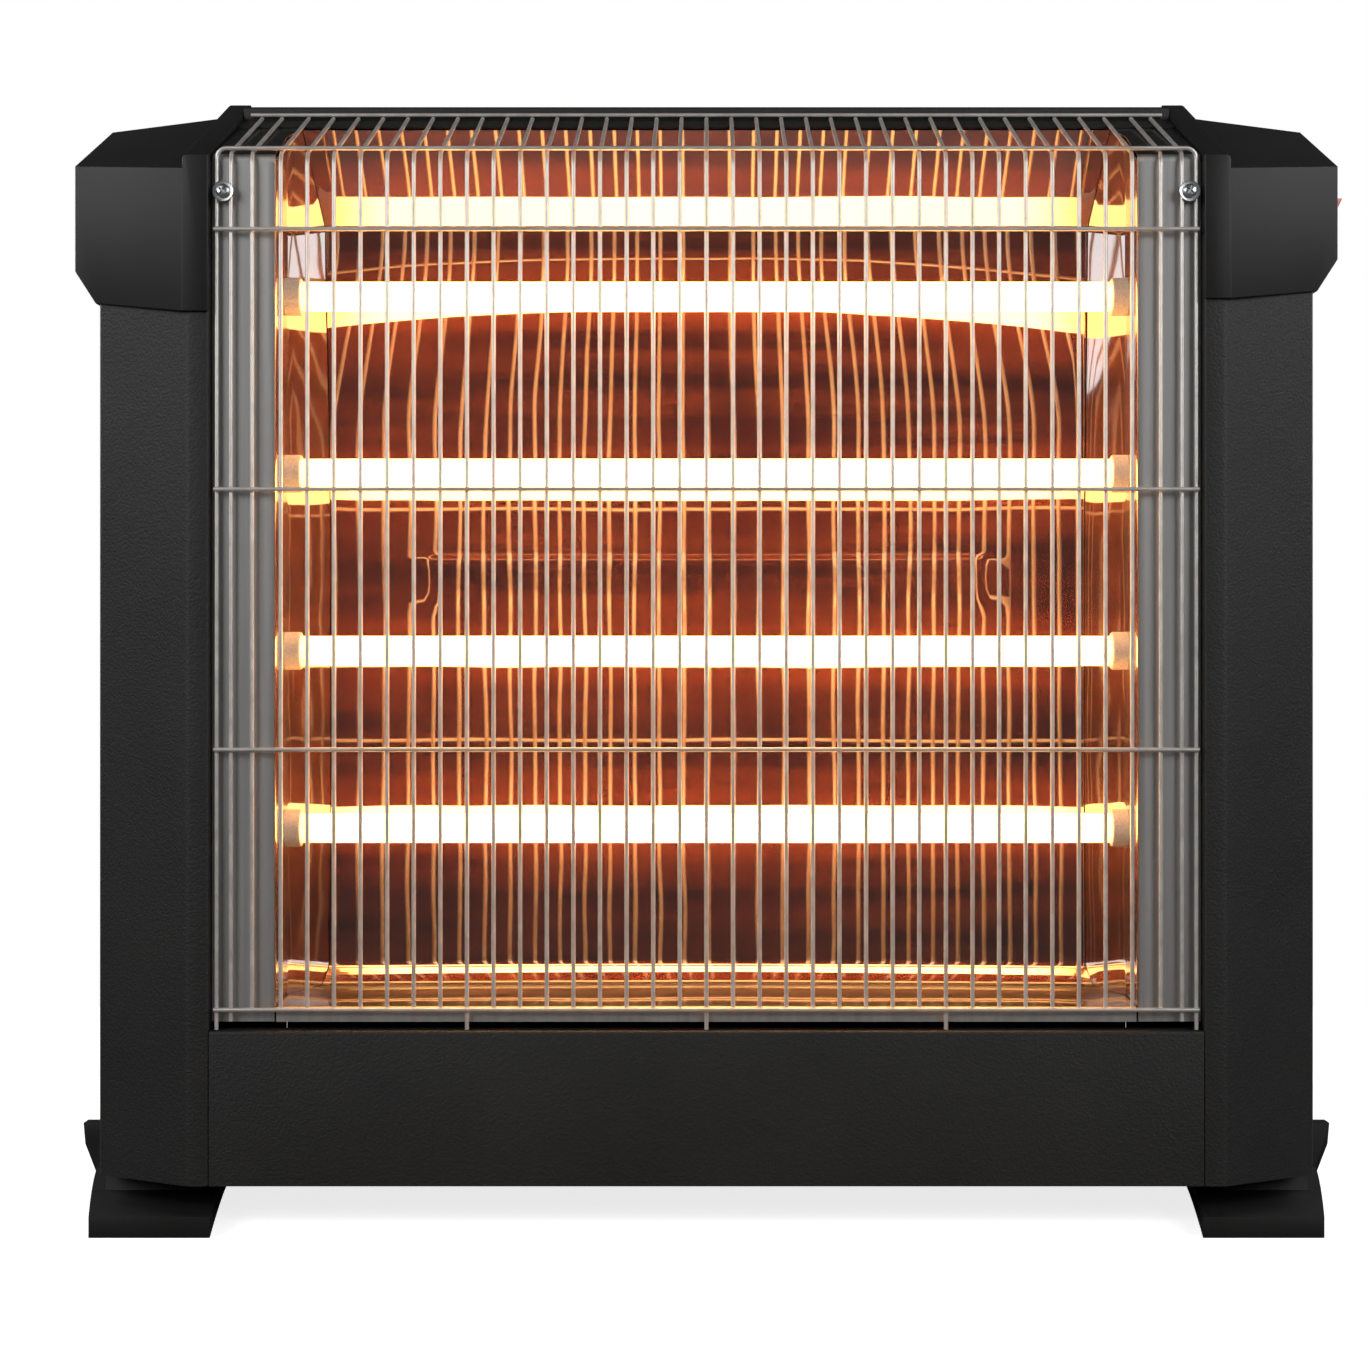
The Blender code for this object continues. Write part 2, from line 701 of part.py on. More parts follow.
def grille_columns():
    """The wires that run up the grille and over its top, as distances from the middle."""
    field = [FIELD_PITCH * number for number in range(FIELD_WIRES_PER_SIDE + 1)]
    half = field + [THIRD_WIRE_X, SECOND_WIRE_X, EDGE_WIRE_X]
    return sorted(half + [-x for x in half if x > 0])


def make_grille(name, face):
    """A net of square wires that is bent once, where the front turns into the sloping top."""
    half = WIRE / 2
    tail_end = PANEL_TOP + FIT_GAP
    lowest = PANEL_TOP + BOTTOM_CROSS_RISE
    highest = GRILLE_CORNER_Z - TOP_CROSS_DROP
    pitch = (highest - lowest) / (CROSS_WIRES - 1)
    roof_end = RIDGE_HALF_WIDTH + FIT_GAP + half * GRILLE_ROOF_SLOPE * ROOF_COSINE
    roof_length = (GRILLE_Y - roof_end) / ROOF_COSINE
    rows = [(tail_end, lowest - half, False)]
    crossings = [lowest + pitch * number for number in range(CROSS_WIRES)]
    for low, high in zip(crossings, crossings[1:]):
        rows.append((low - half, low + half, True))
        rows.append((low + half, high - half, False))
    rows.append((highest - half, highest + half, True))
    rows.append((highest + half, GRILLE_CORNER_Z - half, False))
    rows.append((GRILLE_CORNER_Z - half, GRILLE_CORNER_Z, True))
    rows.append((GRILLE_CORNER_Z, GRILLE_CORNER_Z + half, True))
    end = GRILLE_CORNER_Z + roof_length
    rows.append((GRILLE_CORNER_Z + half, end - WIRE, False))
    rows.append((end - WIRE, end, True))
    uprights = grille_columns()
    columns = [(x - half, x + half, True) for x in uprights]
    columns += [(a + half, b - half, False) for a, b in zip(uprights, uprights[1:])]
    tail_x = FIELD_PITCH * TAIL_WIRE_NUMBER
    tails = (-EDGE_WIRE_X, -tail_x, 0, tail_x, EDGE_WIRE_X)
    shape = bmesh.new()
    known = {}

    def corner(x, along):
        key = (round(x, 7), round(along, 7))
        if key not in known:
            past = max(along - GRILLE_CORNER_Z, 0) * ROOF_COSINE
            y = face * (GRILLE_Y - past)
            z = min(along, GRILLE_CORNER_Z) + past * GRILLE_ROOF_SLOPE
            known[key] = shape.verts.new((x, y, z))
        return known[key]

    for left, right, upright in columns:
        for low, high, crossing in rows:
            tail = low == tail_end
            at_tail = any(left < x < right for x in tails)
            if not crossing and not (upright and (at_tail or not tail)):
                continue
            bottom = (corner(left, low), corner(right, low))
            shape.faces.new((*bottom, corner(right, high), corner(left, high)))
    grille = add_piece(name, shape, chrome())
    wall = grille.modifiers.new("wire_thickness", "SOLIDIFY")
    wall.thickness = WIRE
    wall.offset = 0
    wall.use_even_offset = True
    return grille


def make_grille_screw(name, side, face):
    """A pan head screw and its washer, which hold the grille's two outer wires to the flange."""
    washer_back = GRILLE_Y + WIRE / 2 + FIT_GAP
    washer_front = washer_back + WASHER_HEIGHT
    point = BODY_HALF_DEPTH - FLANGE_SETBACK - SHEET - SCREW_POINT_BEHIND
    profile = [
        (point, SCREW_RADIUS),
        (washer_back, SCREW_RADIUS),
        (washer_back, WASHER_RADIUS),
        (washer_front, WASHER_RADIUS),
        (washer_front, SCREW_HEAD_RADIUS),
        (washer_front + SCREW_HEAD_HEIGHT, SCREW_HEAD_RADIUS),
    ]
    place = (side * screw_x(), 0, EAVE_HEIGHT - SCREW_DROP)
    turn = (0, 0, face * math.pi / 2)
    screw = add_piece(name, turned(profile, ROUND_SIDES), galvanised_steel(), place, turn)
    shade_round(screw)


def ceramic_start():
    return chamber_half_width(TUBE_SETBACK) - CERAMIC_INSIDE


def make_tube(name, face, height):
    """An open quartz pipe. Each end stands in a ceramic socket."""
    reach = ceramic_start() + SOCKET_DEPTH - FIT_GAP
    bore = TUBE_RADIUS - TUBE_WALL
    profile = [(-reach, TUBE_RADIUS), (reach, TUBE_RADIUS), (reach, bore), (-reach, bore)]
    place = (0, face * TUBE_Y, height)
    tube = add_piece(name, turned(profile, ROUND_SIDES, ring=True), quartz(), place)
    shade_round(tube)


def make_ceramic(name, side, face, height):
    """A ceramic end with a socket for the tube and a small bore for its terminal pin."""
    socket = TUBE_RADIUS + FIT_GAP
    bore = PIN_RADIUS + FIT_GAP
    profile = [
        (0, CERAMIC_RADIUS),
        (CERAMIC_LENGTH, CERAMIC_RADIUS),
        (CERAMIC_LENGTH, bore),
        (SOCKET_DEPTH, bore),
        (SOCKET_DEPTH, socket),
        (0, socket),
    ]
    place = (side * ceramic_start(), face * TUBE_Y, height)
    turn = (0, 0, 0 if side > 0 else math.pi)
    end = add_piece(name, turned(profile, ROUND_SIDES, ring=True), ceramic(), place, turn)
    shade_round(end)


def pin_end():
    return ceramic_start() + CERAMIC_LENGTH + PIN_PROUD


def make_heating_circuit(name, face):
    """Four heating coils with their terminal pins, linked by the bar in the left column.

    The tubes hide the coils, so each one is a plain rod of the coil's outer diameter.
    """
    coil = ceramic_start() - COIL_END_GAP
    profile = [
        (-pin_end(), PIN_RADIUS),
        (-coil, PIN_RADIUS),
        (-coil, COIL_RADIUS),
        (coil, COIL_RADIUS),
        (coil, PIN_RADIUS),
        (pin_end(), PIN_RADIUS),
    ]
    bar = box(
        signed(-1, pin_end() - BUS_WIDTH / 2, pin_end() + BUS_WIDTH / 2),
        around(face * TUBE_Y, 2 * PIN_RADIUS + BUS_WIDTH),
        (LOWEST_TUBE - BUS_WIDTH, HIGHEST_TUBE + BUS_WIDTH),
    )
    circuit = add_piece(name, bar, resistance_wire())
    coils = bmesh.new()
    for height in TUBE_HEIGHTS:
        turned(profile, ROUND_SIDES, shape=coils, centre=(0, face * TUBE_Y, height))
    join(circuit, coils)


def make_switch_body(name, place):
    """A snap-in switch housing: a bezel, a body through the cap's wall and a well for the rocker."""
    middle = SWITCH_HEIGHT_ABOVE_FLOOR
    bezel_back = CAP_OUTER + FIT_GAP
    bezel_front = bezel_back + BEZEL_THICKNESS
    body_x = (bezel_back - SWITCH_LENGTH, bezel_back + BEZEL_THICKNESS / 2)
    shape = box(body_x, around(place, SWITCH_WIDTH), around(middle, SWITCH_HEIGHT))
    body = add_piece(name, shape, black_plastic())
    join(body, box((bezel_back, bezel_front), around(place, BEZEL_WIDTH), around(middle, BEZEL_HEIGHT)))
    axis_x = CAP_OUTER - ROCKER_AXIS_INSET
    well_floor = axis_x - ROCKER_ROOT - SWING_CLEARANCE
    well = box(
        (well_floor, bezel_front + BEZEL_THICKNESS),
        around(place, ROCKER_WIDTH + 2 * FIT_GAP),
        around(middle, 2 * (ROCKER_HALF_LENGTH + SWING_CLEARANCE)),
    )
    cut(body, well)
    reach = ROCKER_WIDTH / 2 + ROCKER_PIN_REACH + FIT_GAP
    radius = ROCKER_PIN_RADIUS + FIT_GAP
    bores = turned([(-reach, radius), (reach, radius)], ROUND_SIDES)
    cut(body, bores, (axis_x, place, middle), (0, 0, math.pi / 2))


def make_rocker(name, place):
    """A rocker that tips about its pins, at rest with its upper end out."""
    half = ROCKER_HALF_LENGTH
    outline = [
        (ROCKER_DIP, 0),
        (ROCKER_CROWN, half),
        (-ROCKER_HEEL_DEPTH, ROCKER_HEEL_PLACE),
        (-ROCKER_ROOT, 0),
        (-ROCKER_HEEL_DEPTH, -ROCKER_HEEL_PLACE),
        (ROCKER_CROWN, -half),
    ]
    shape = prism(outline, -ROCKER_WIDTH / 2, ROCKER_WIDTH / 2, "Y")
    centre = (CAP_OUTER - ROCKER_AXIS_INSET, place, SWITCH_HEIGHT_ABOVE_FLOOR)
    turn = (0, ROCKER_TILT, 0)
    rocker = add_piece(name, shape, switch_red(), centre, turn)
    reach = ROCKER_WIDTH / 2 + ROCKER_PIN_REACH
    pins = turned([(-reach, ROCKER_PIN_RADIUS), (reach, ROCKER_PIN_RADIUS)], ROUND_SIDES)
    join(rocker, pins, centre, (0, 0, math.pi / 2))


def gland_angle():
    """Direction that the rear chamfer of the right column faces, seen from above."""
    return math.atan2(COLUMN_REACH - COLUMN_STRIP, BODY_HALF_DEPTH - COLUMN_SIDE_HALF)


def gland_place():
    """Middle of the cord's hole, on the outside of the rear chamfer."""
    x = (OPENING_HALF_WIDTH + COLUMN_STRIP + COLUMN_OUTER) / 2
    return (x, (BODY_HALF_DEPTH + COLUMN_SIDE_HALF) / 2, GLAND_HEIGHT)


def make_cord_gland():
    """The bush that the cord comes out of, snapped into its hole from both faces of the sheet."""
    inner_face = -SHEET - FIT_GAP
    inner_end = inner_face - GLAND_INNER_FLANGE
    profile = [
        (inner_end, GLAND_RADIUS),
        (inner_face, GLAND_RADIUS),
        (inner_face, GLAND_NECK_RADIUS),
        (FIT_GAP, GLAND_NECK_RADIUS),
        (FIT_GAP, GLAND_RADIUS),
        (GLAND_PROUD, GLAND_RADIUS),
        (GLAND_PROUD, GLAND_BORE_RADIUS),
        (inner_end, GLAND_BORE_RADIUS),
    ]
    shape = turned(profile, ROUND_SIDES, ring=True)
    gland = add_piece("cord_gland", shape, black_plastic(), gland_place(), (0, 0, gland_angle()))
    shade_round(gland)


def plate_top():
    return BODY_BOTTOM + SHEET + FIT_GAP


def make_terminal_block():
    """A strip of terminals on the base pan, with a barrier on each side of every pole."""
    length = BLOCK_PITCH * BLOCK_POLES
    top = plate_top() + BLOCK_HEIGHT
    slot_floor = top - BLOCK_SLOT
    barrier = (BLOCK_PITCH - BLOCK_SLOT) / 2
    outline = [(-length / 2, plate_top()), (length / 2, plate_top()), (length / 2, top)]
    for pole in range(BLOCK_POLES):
        start = length / 2 - BLOCK_PITCH * pole
        outline.append((start - barrier, top))
        outline.append((start - barrier, slot_floor))
        outline.append((start - BLOCK_PITCH + barrier, slot_floor))
        outline.append((start - BLOCK_PITCH + barrier, top))
    outline.append((-length / 2, top))
    shape = prism(outline, *around(COLUMN_MIDDLE, BLOCK_WIDTH), "X")
    add_piece("terminal_block", shape, moulded_nylon())


def make_tip_over_switch():
    """A sealed switch on the base pan that cuts the current when the heater falls over."""
    shape = box(
        around(COLUMN_MIDDLE, TIP_SWITCH_WIDTH),
        around(-TIP_SWITCH_PLACE, TIP_SWITCH_LENGTH),
        (plate_top(), plate_top() + TIP_SWITCH_HEIGHT),
    )
    switch = add_piece("tip_over_switch", shape, black_plastic())
    boss = [(-TIP_SWITCH_WIDTH, TIP_SWITCH_BOSS_RADIUS), (0, TIP_SWITCH_BOSS_RADIUS)]
    place = (COLUMN_MIDDLE, -TIP_SWITCH_PLACE, plate_top() + TIP_SWITCH_HEIGHT / 2)
    join(switch, turned(boss, ROUND_SIDES), place)


def make_wiring_loom():
    """The bundled wires: a trunk up the right column, its branches, and the run to the left.

    Its ends stop a fit gap short of the terminal pins, switches, terminal block and link bars.
    """
    thick = LOOM_WIDTH
    thin = BRANCH_WIDTH
    crossing_z = plate_top() + LOOM_CROSSING_RISE
    block_floor = plate_top() + BLOCK_HEIGHT - BLOCK_SLOT + FIT_GAP
    switch_z = SWITCH_HEIGHT_ABOVE_FLOOR
    trunk = box(around(COLUMN_MIDDLE, thick), around(0, thick), (block_floor, switch_z + thick / 2))
    loom = add_piece("wiring_loom", trunk, wire_insulation())
    crossing_x = (-COLUMN_MIDDLE - thick / 2, COLUMN_MIDDLE)
    join(loom, box(crossing_x, around(0, thick), around(crossing_z, thick)))
    riser = box(
        around(-COLUMN_MIDDLE, thick), around(0, thick), (crossing_z, LOWEST_TUBE + thick / 2)
    )
    join(loom, riser)
    span = 2 * TUBE_Y + thin
    bars = bmesh.new()
    for height in TUBE_HEIGHTS:
        box(around(COLUMN_MIDDLE, thin), around(0, span), around(height, thin), bars)
    box(around(-COLUMN_MIDDLE, thin), around(0, span), around(LOWEST_TUBE, thin), bars)
    reach = 2 * max(SWITCH_PLACES) + thin
    box(around(COLUMN_MIDDLE, thin), around(0, reach), around(switch_z, thin), bars)
    box(
        around(COLUMN_MIDDLE, thin),
        (-TIP_SWITCH_PLACE - thin / 2, 0),
        around(crossing_z, thin),
        bars,
    )
    join(loom, bars)
    stubs = bmesh.new()
    for face in FACES.values():
        near = pin_end() + FIT_GAP
        for height in TUBE_HEIGHTS:
            box((near, COLUMN_MIDDLE), around(face * TUBE_Y, thin), around(height, thin), stubs)
        bus = pin_end() + BUS_WIDTH / 2 + FIT_GAP
        box((-COLUMN_MIDDLE, -bus), around(face * TUBE_Y, thin), around(LOWEST_TUBE, thin), stubs)
    switch_back = CAP_OUTER + FIT_GAP - SWITCH_LENGTH - FIT_GAP
    for place in SWITCH_PLACES:
        box((COLUMN_MIDDLE, switch_back), around(place, thin), around(switch_z, thin), stubs)
    drop = (plate_top() + TIP_SWITCH_HEIGHT + FIT_GAP, crossing_z)
    box(around(COLUMN_MIDDLE, thin), around(-TIP_SWITCH_PLACE, thin), drop, stubs)
    join(loom, stubs)


def main():
    clear_scene()
    for side_name, side in SIDES.items():
        make_foot(f"{side_name}_foot", side)
        make_column_cover(f"{side_name}_column_cover", side_name, side)
        make_cap(f"{side_name}_cap", side_name, side)
    make_top_bar()
    make_bottom_plate()
    for face_name, face in FACES.items():
        make_lower_panel(f"{face_name}_lower_panel", face)
        make_reflector(f"{face_name}_reflector", face)
        make_grille(f"{face_name}_grille", face)
        make_heating_circuit(f"{face_name}_heating_coils", face)
        for row, height in enumerate(TUBE_HEIGHTS, start=1):
            make_tube(f"{face_name}_tube_{row}", face, height)
            for side_name, side in SIDES.items():
                make_ceramic(f"{face_name}_{side_name}_ceramic_{row}", side, face, height)
        for side_name, side in SIDES.items():
            make_side_sheet(f"{face_name}_{side_name}_side_sheet", side, face)
            make_grille_screw(f"{face_name}_{side_name}_grille_screw", side, face)
    for number, place in enumerate(SWITCH_PLACES, start=1):
        make_switch_body(f"switch_body_{number}", place)
        make_rocker(f"rocker_{number}", place)
    make_cord_gland()
    make_terminal_block()
    make_tip_over_switch()
    make_wiring_loom()


main()
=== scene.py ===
"""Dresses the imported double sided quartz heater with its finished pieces, materials and stage.

Metres, +Z up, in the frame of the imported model. The front looks along -Y. Pieces come in
mirrored copies: side is -1 on the left and +1 on the right, face is -1 at the front and +1 at
the rear.
"""

import math
from contextlib import contextmanager
from functools import wraps

import bmesh
import bpy
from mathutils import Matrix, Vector


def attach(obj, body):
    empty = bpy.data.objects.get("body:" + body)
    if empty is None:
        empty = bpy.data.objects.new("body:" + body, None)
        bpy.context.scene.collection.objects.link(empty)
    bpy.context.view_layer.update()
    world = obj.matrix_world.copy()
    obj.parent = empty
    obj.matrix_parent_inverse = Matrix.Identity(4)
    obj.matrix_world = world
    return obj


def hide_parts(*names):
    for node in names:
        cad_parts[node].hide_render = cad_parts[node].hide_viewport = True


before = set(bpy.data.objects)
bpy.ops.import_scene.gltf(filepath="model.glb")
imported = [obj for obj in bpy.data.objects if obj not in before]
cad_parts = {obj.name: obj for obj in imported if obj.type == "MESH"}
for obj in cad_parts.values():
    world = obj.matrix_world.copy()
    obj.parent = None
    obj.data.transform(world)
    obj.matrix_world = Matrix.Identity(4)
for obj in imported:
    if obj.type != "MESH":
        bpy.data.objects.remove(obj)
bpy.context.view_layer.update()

bl_info = {
    "name": "Quartz heater pieces",
    "version": (1, 0, 0),
    "blender": (4, 5, 0),
    "location": "3D View > Sidebar > Heater",
    "description": "Models the visible pieces of a double sided quartz heater on its packed frame",
    "category": "Object",
}

SIDES = {"left": -1, "right": 1}
FACES = {"front": -1, "rear": 1}
FIT_GAP = 0.0003
SHEET = 0.001
SAME_PLACE = 1e-6
# Least cosine between an edge and the axis that it counts as running along
PARALLEL = 0.999

# Body
OPENING_HALF_WIDTH = 0.229
HALF_DEPTH = 0.112
BODY_BOTTOM = 0.0199
PANEL_TOP = 0.0914
PANEL_FLANGE = 0.012
PANEL_END_GAP = 0.00003
EAVE_HEIGHT = 0.489
FOLD_STEPS = 4

# Feet
FOOT_HALF_LENGTH = 0.130
TOE_INNER = 0.225
TOE_OUTER = 0.280
FOOT_INNER_BOW = 0.0157
FOOT_OUTER_BOW = 0.026
FOOT_BOW_POWER = 1.1
FOOT_PLATE_HEIGHT = 0.0095
FOOT_ROWS = 24
PEDESTAL_HALF_LENGTH = 0.067
PEDESTAL_TOP = 0.0196
LUG_HALF_LENGTH = 0.005
# Corners of the lug from the front: distance from the column, and height
LUG_CORNERS = ((0, 0.00475), (0.0192, 0.00475), (0.0253, 0.0205), (0.0262, 0.031), (0, 0.031))
FOOT_EDGE = 0.0009

# Columns and their caps
COLUMN_OUTER = 0.2858
COLUMN_STRIP_X = 0.239
COLUMN_SIDE_HALF = 0.084
COLUMN_RETURN = 0.012
CHAMFER_GROWTH = 0.55
COLUMN_TOP = {"left": 0.4523, "right": 0.4581}
CAP_BOTTOM = {"left": 0.4223, "right": 0.4281}
CAP_OUTER = 0.299
CAP_STRIP_X = 0.241
CAP_HALF_DEPTH = 0.1138
CAP_SIDE_HALF = 0.0772
CAP_CORNER_X = 0.2875
CAP_CORNER_LOW = 0.0077
CAP_CORNER_HIGH = 0.024
CAP_ROOF_SLOPE = 0.42
CAP_OUTWARD_FALL = 0.128
CAP_RIM_RISE = 0.0063
CAP_RIM_ROUNDING = 0.0022
CAP_BLANK_TOP = 0.6

# Ridge bar
RIDGE_HALF_WIDTH = 0.0225
RIDGE_TOP = 0.5366
BAR_SKIRT_END = 0.0405
BAR_SKIRT_LOW = 0.5228
BAR_SKIRT_HIGH = 0.5298

# Guards
FIELD_PITCH = 0.01226875
FIELD_WIRES_PER_SIDE = 16
THIRD_WIRE_X = 0.2095
SECOND_WIRE_X = 0.2193
EDGE_WIRE_X = 0.2259
TAIL_WIRE_X = (0, 0.11041875)
TAIL_LOW = 0.0917
SHORT_TAIL_LOW = 0.0955
CROSS_WIRE_HEIGHTS = (0.101, 0.2208, 0.3407, 0.4605)
UPRIGHT_Y = 0.1093
CROSS_WIRE_Y = 0.1111
# The bends and the upper end of an upright, and the frame wire's corners: y and z
UPRIGHT_BENDS = ((UPRIGHT_Y, 0.4915), (0.1071, 0.4966), (0.0245, 0.5300))
CORNER_WIRE = (0.1085, 0.4982)
END_WIRE = (0.0238, 0.5320)
END_WIRE_HALF = 0.2250

# Reflectors and side sheets
REFLECTOR_FLOOR = 0.102
REFLECTOR_LIP_Y = 0.107
REFLECTOR_LIP_LOW = 0.095
REFLECTOR_KNEE_Y = 0.062
REFLECTOR_BACK_Y = 0.0165
REFLECTOR_COVE_Y = 0.0255
REFLECTOR_COVE_Z = 0.111
REFLECTOR_TOP = 0.4771
BACK_CREASES = ((0.0150, 0.198), (0.0150, 0.315))
BACK_TOP_LEAN = 0.0025
# Axis, number of cuts and least length of the edges that a reflector is divided at
MIRROR_CUTS = ((0, 79, 0.0), (2, 23, 0.04), (1, 11, 0.015))
BOW_FADE_START = 0.375
BOW_MIDDLE_X = -0.014
HOOD_MIDDLE_Z = 0.499
HOOD_BAND = 0.004
HOOD_REACH = 0.024
HOOD_HOLLOW = 0.0003
BEAD_Z = 0.3035
BEAD_HALF_HEIGHT = 0.006
BEAD_REACH = 0.138
BEAD_SHOULDER = 0.008
HOOD_END = (0.0450, 0.5200)
FLANGE_Y = 0.106
CHAMBER_HALF_WIDTH = 0.199
WALL_KNEE_X = 0.201
WALL_BACK_X = 0.1873
WALL_BACK_Y = 0.0125
FLANGE_TOP = 0.4925
# Corners of a wall from the flange back: x and y
WALL_CORNERS = (
    (CHAMBER_HALF_WIDTH, FLANGE_Y),
    (WALL_KNEE_X, REFLECTOR_KNEE_Y),
    (WALL_BACK_X, WALL_BACK_Y),
)
WALL_BLANK_HEIGHT = 0.45
WALL_FOLD_RADIUS = 0.0012
WALL_ROWS = 72
WALL_CELL = 0.006
# Corners of a roof flap from the front back: y, z and the x of its inner end
FLAP_BEND_Z = 0.4962
FLAP_CORNERS = (
    (FLANGE_Y, FLANGE_TOP, 0.1992),
    (FLANGE_Y, FLAP_BEND_Z, 0.1992),
    (0.062, 0.5135, 0.2008),
    (0.0412, 0.5217, 0.1955),
)
FLAP_BEND_RADIUS = 0.003

# Tubes
TUBE_Y = 0.067
TUBE_HEIGHTS = (0.1823, 0.26683, 0.35137, 0.4358)
TUBE_HALF_LENGTH = 0.2047
TUBE_BORE = 0.006
TUBE_LIP = 0.0003
COIL_HALF_LENGTH = 0.188
PIN_START = 0.196
CERAMIC_START = 0.193
CERAMIC_RADIUS = 0.009
CERAMIC_LENGTH = 0.022
CERAMIC_EDGE = 0.0008
SOCKET_DEPTH = 0.012
PIN_BORE = 0.002

# Guard screws
SCREW_X = 0.2226
SCREW_Z = 0.478
WASHER_BACK = UPRIGHT_Y + 0.0013
WASHER_FRONT = WASHER_BACK + 0.0008
# The screw and its washer from the tip to the head: y and radius
SCREW_PROFILE = (
    (0.098, 0.0),
    (0.098, 0.0017),
    (WASHER_BACK, 0.0017),
    (WASHER_BACK, 0.0047),
    (WASHER_BACK + 0.0002, 0.0049),
    *(
        (WASHER_FRONT + rise, radius)
        for rise, radius in (
            (-0.0002, 0.0049), (0.0, 0.0047), (-0.0002, 0.0036), (-0.0002, 0.0031), (0.0008, 0.0032),
            (0.0013, 0.0028), (0.0016, 0.0020), (0.0017, 0.0010), (0.0017, 0.0),
        )
    ),
)
RECESS_SIZE = (0.0040, 0.0024, 0.0010)
RECESS_TURNS = (35, 125)

# Switches in the right cap
SWITCH_PLACES = (-0.060, -0.038, 0.038, 0.060)
SWITCH_Z = 0.4765
SWITCH_LENGTH = 0.020
# Half the width and half the height of the bezel, of the body behind it and of its well
BEZEL_HALF = (0.0075, 0.0105)
BEZEL_THICKNESS = 0.0015
BODY_HALF = (0.0067, 0.0095)
WELL_HALF = (0.0055, 0.0089)
WELL_FLOOR_X = 0.2924
WINDOW_DEPTH = 0.006
ROCKER_AXIS_X = 0.298
ROCKER_HALF_WIDTH = 0.0052
ROCKER_HALF_LENGTH = 0.0078
ROCKER_TILT = math.radians(12)
ROCKER_CROWN = 0.0046
ROCKER_DISH = 0.0014
ROCKER_BELLY = ((-0.0029, 0.0065), (-0.0045, 0), (-0.0029, -0.0065))
SWITCH_EDGE = 0.0005

# Cord gland on the rear chamfer of the right column
GLAND_PLACE = (0.2624, 0.098, 0.045)
GLAND_ANGLE = math.atan2(0.0468, 0.028)
CORD_HOLE_RADIUS = 0.0059
# Places along the gland's axis, from the column's skin outwards, and radii
GLAND_PROFILE = (
    (-0.0043, 0.0035), (-0.0043, 0.0080), (-0.0013, 0.0080), (-0.0013, 0.0056), (0.0003, 0.0056),
    (0.0003, 0.0080), (0.0030, 0.0080), (0.0050, 0.0070), (0.0060, 0.0055), (0.0060, 0.0042),
    (0.0050, 0.0035), (-0.0043, 0.0035),
)

# Soft lamps on both sides of the heater: their places at the right, and shares of the power
LAMPS = {
    "front": ((1.2, -1.5, 0.98), 1.0),
    "side": ((1.7, -0.3, 1.1), 0.5),
    "rear": ((1.9, 1.3, 0.78), 0.9),
}
LAMP_SIZE = 0.9
SENSOR_WIDTH = 36


# Shaping steps


def pick(piece):
    """Make a piece the only selected one, and the active one."""
    bpy.ops.object.select_all(action="DESELECT")
    piece.select_set(True)
    bpy.context.view_layer.objects.active = piece


@contextmanager
def editing(piece):
    """Work on a piece in edit mode, at first with all of it selected."""
    pick(piece)
    bpy.ops.object.mode_set(mode="EDIT")
    bpy.ops.mesh.select_all(action="SELECT")
    yield
    bpy.ops.object.mode_set(mode="OBJECT")


def settle(name):
    """Name the new object and put its place into its mesh."""
    piece = bpy.context.object
    piece.name = name
    piece.data.name = name
    bpy.ops.object.transform_apply(location=True, rotation=True, scale=True)
    return piece


def around(middle, half):
    """A range that reaches equally far to both sides."""
    return (middle - half, middle + half)


def signed(side, near, far):
    """A range on one side of the middle, given by two distances from it."""
    return tuple(sorted((side * near, side * far)))


def mirrored(half):
    """An outline from its front half, in order, with the rear half as its mirror image."""
    return [*half, *((x, -y, z) for x, y, z in reversed(half))]


def block(name, *ranges):
    """A box that fills a range of x, y and z."""
    bpy.ops.mesh.primitive_cube_add(
        size=1,
        location=[sum(pair) / 2 for pair in ranges],
        scale=[abs(pair[1] - pair[0]) for pair in ranges],
    )
    return settle(name)


def trace(name, points):
    """A line of edges, drawn by extruding one vertex from point to point."""
    bpy.ops.mesh.primitive_plane_add(size=SHEET, location=points[0])
    line = settle(name)
    with editing(line):
        bpy.ops.mesh.select_mode(type="VERT")
        bpy.ops.mesh.merge(type="CENTER")
        for start, end in zip(points, points[1:]):
            step = Vector(end) - Vector(start)
            bpy.ops.mesh.extrude_vertices_move(TRANSFORM_OT_translate={"value": step})
    return line


def choose(piece, kind, wanted):
    """In edit mode, select the vertices, edges or faces that a test wants."""
    bpy.ops.mesh.select_mode(type=kind)
    bpy.ops.mesh.select_all(action="DESELECT")
    mesh = bmesh.from_edit_mesh(piece.data)
    for part in {"VERT": mesh.verts, "EDGE": mesh.edges, "FACE": mesh.faces}[kind]:
        if wanted(part):
            part.select_set(True)
    bmesh.update_edit_mesh(piece.data)


def along(edge, axis):
    """Whether an edge runs along an axis, 0 for X, 1 for Y and 2 for Z."""
    run = edge.verts[1].co - edge.verts[0].co
    return abs(run[axis]) > PARALLEL * run.length


def lies_at(edge, axis, place):
    """Whether both ends of an edge have the same place along an axis."""
    return all(abs(end.co[axis] - place) < FIT_GAP for end in edge.verts)


def slice_off(piece, point, normal, fill=True):
    """Cut away what lies beyond a plane."""
    with editing(piece):
        bpy.ops.mesh.bisect(
            plane_co=point, plane_no=normal, use_fill=fill, clear_outer=True, threshold=SAME_PLACE
        )


def close_up(piece, reach=SAME_PLACE):
    """Merge what lies in one place and turn the faces outwards."""
    with editing(piece):
        bpy.ops.mesh.remove_doubles(threshold=reach)
        bpy.ops.mesh.normals_make_consistent(inside=False)


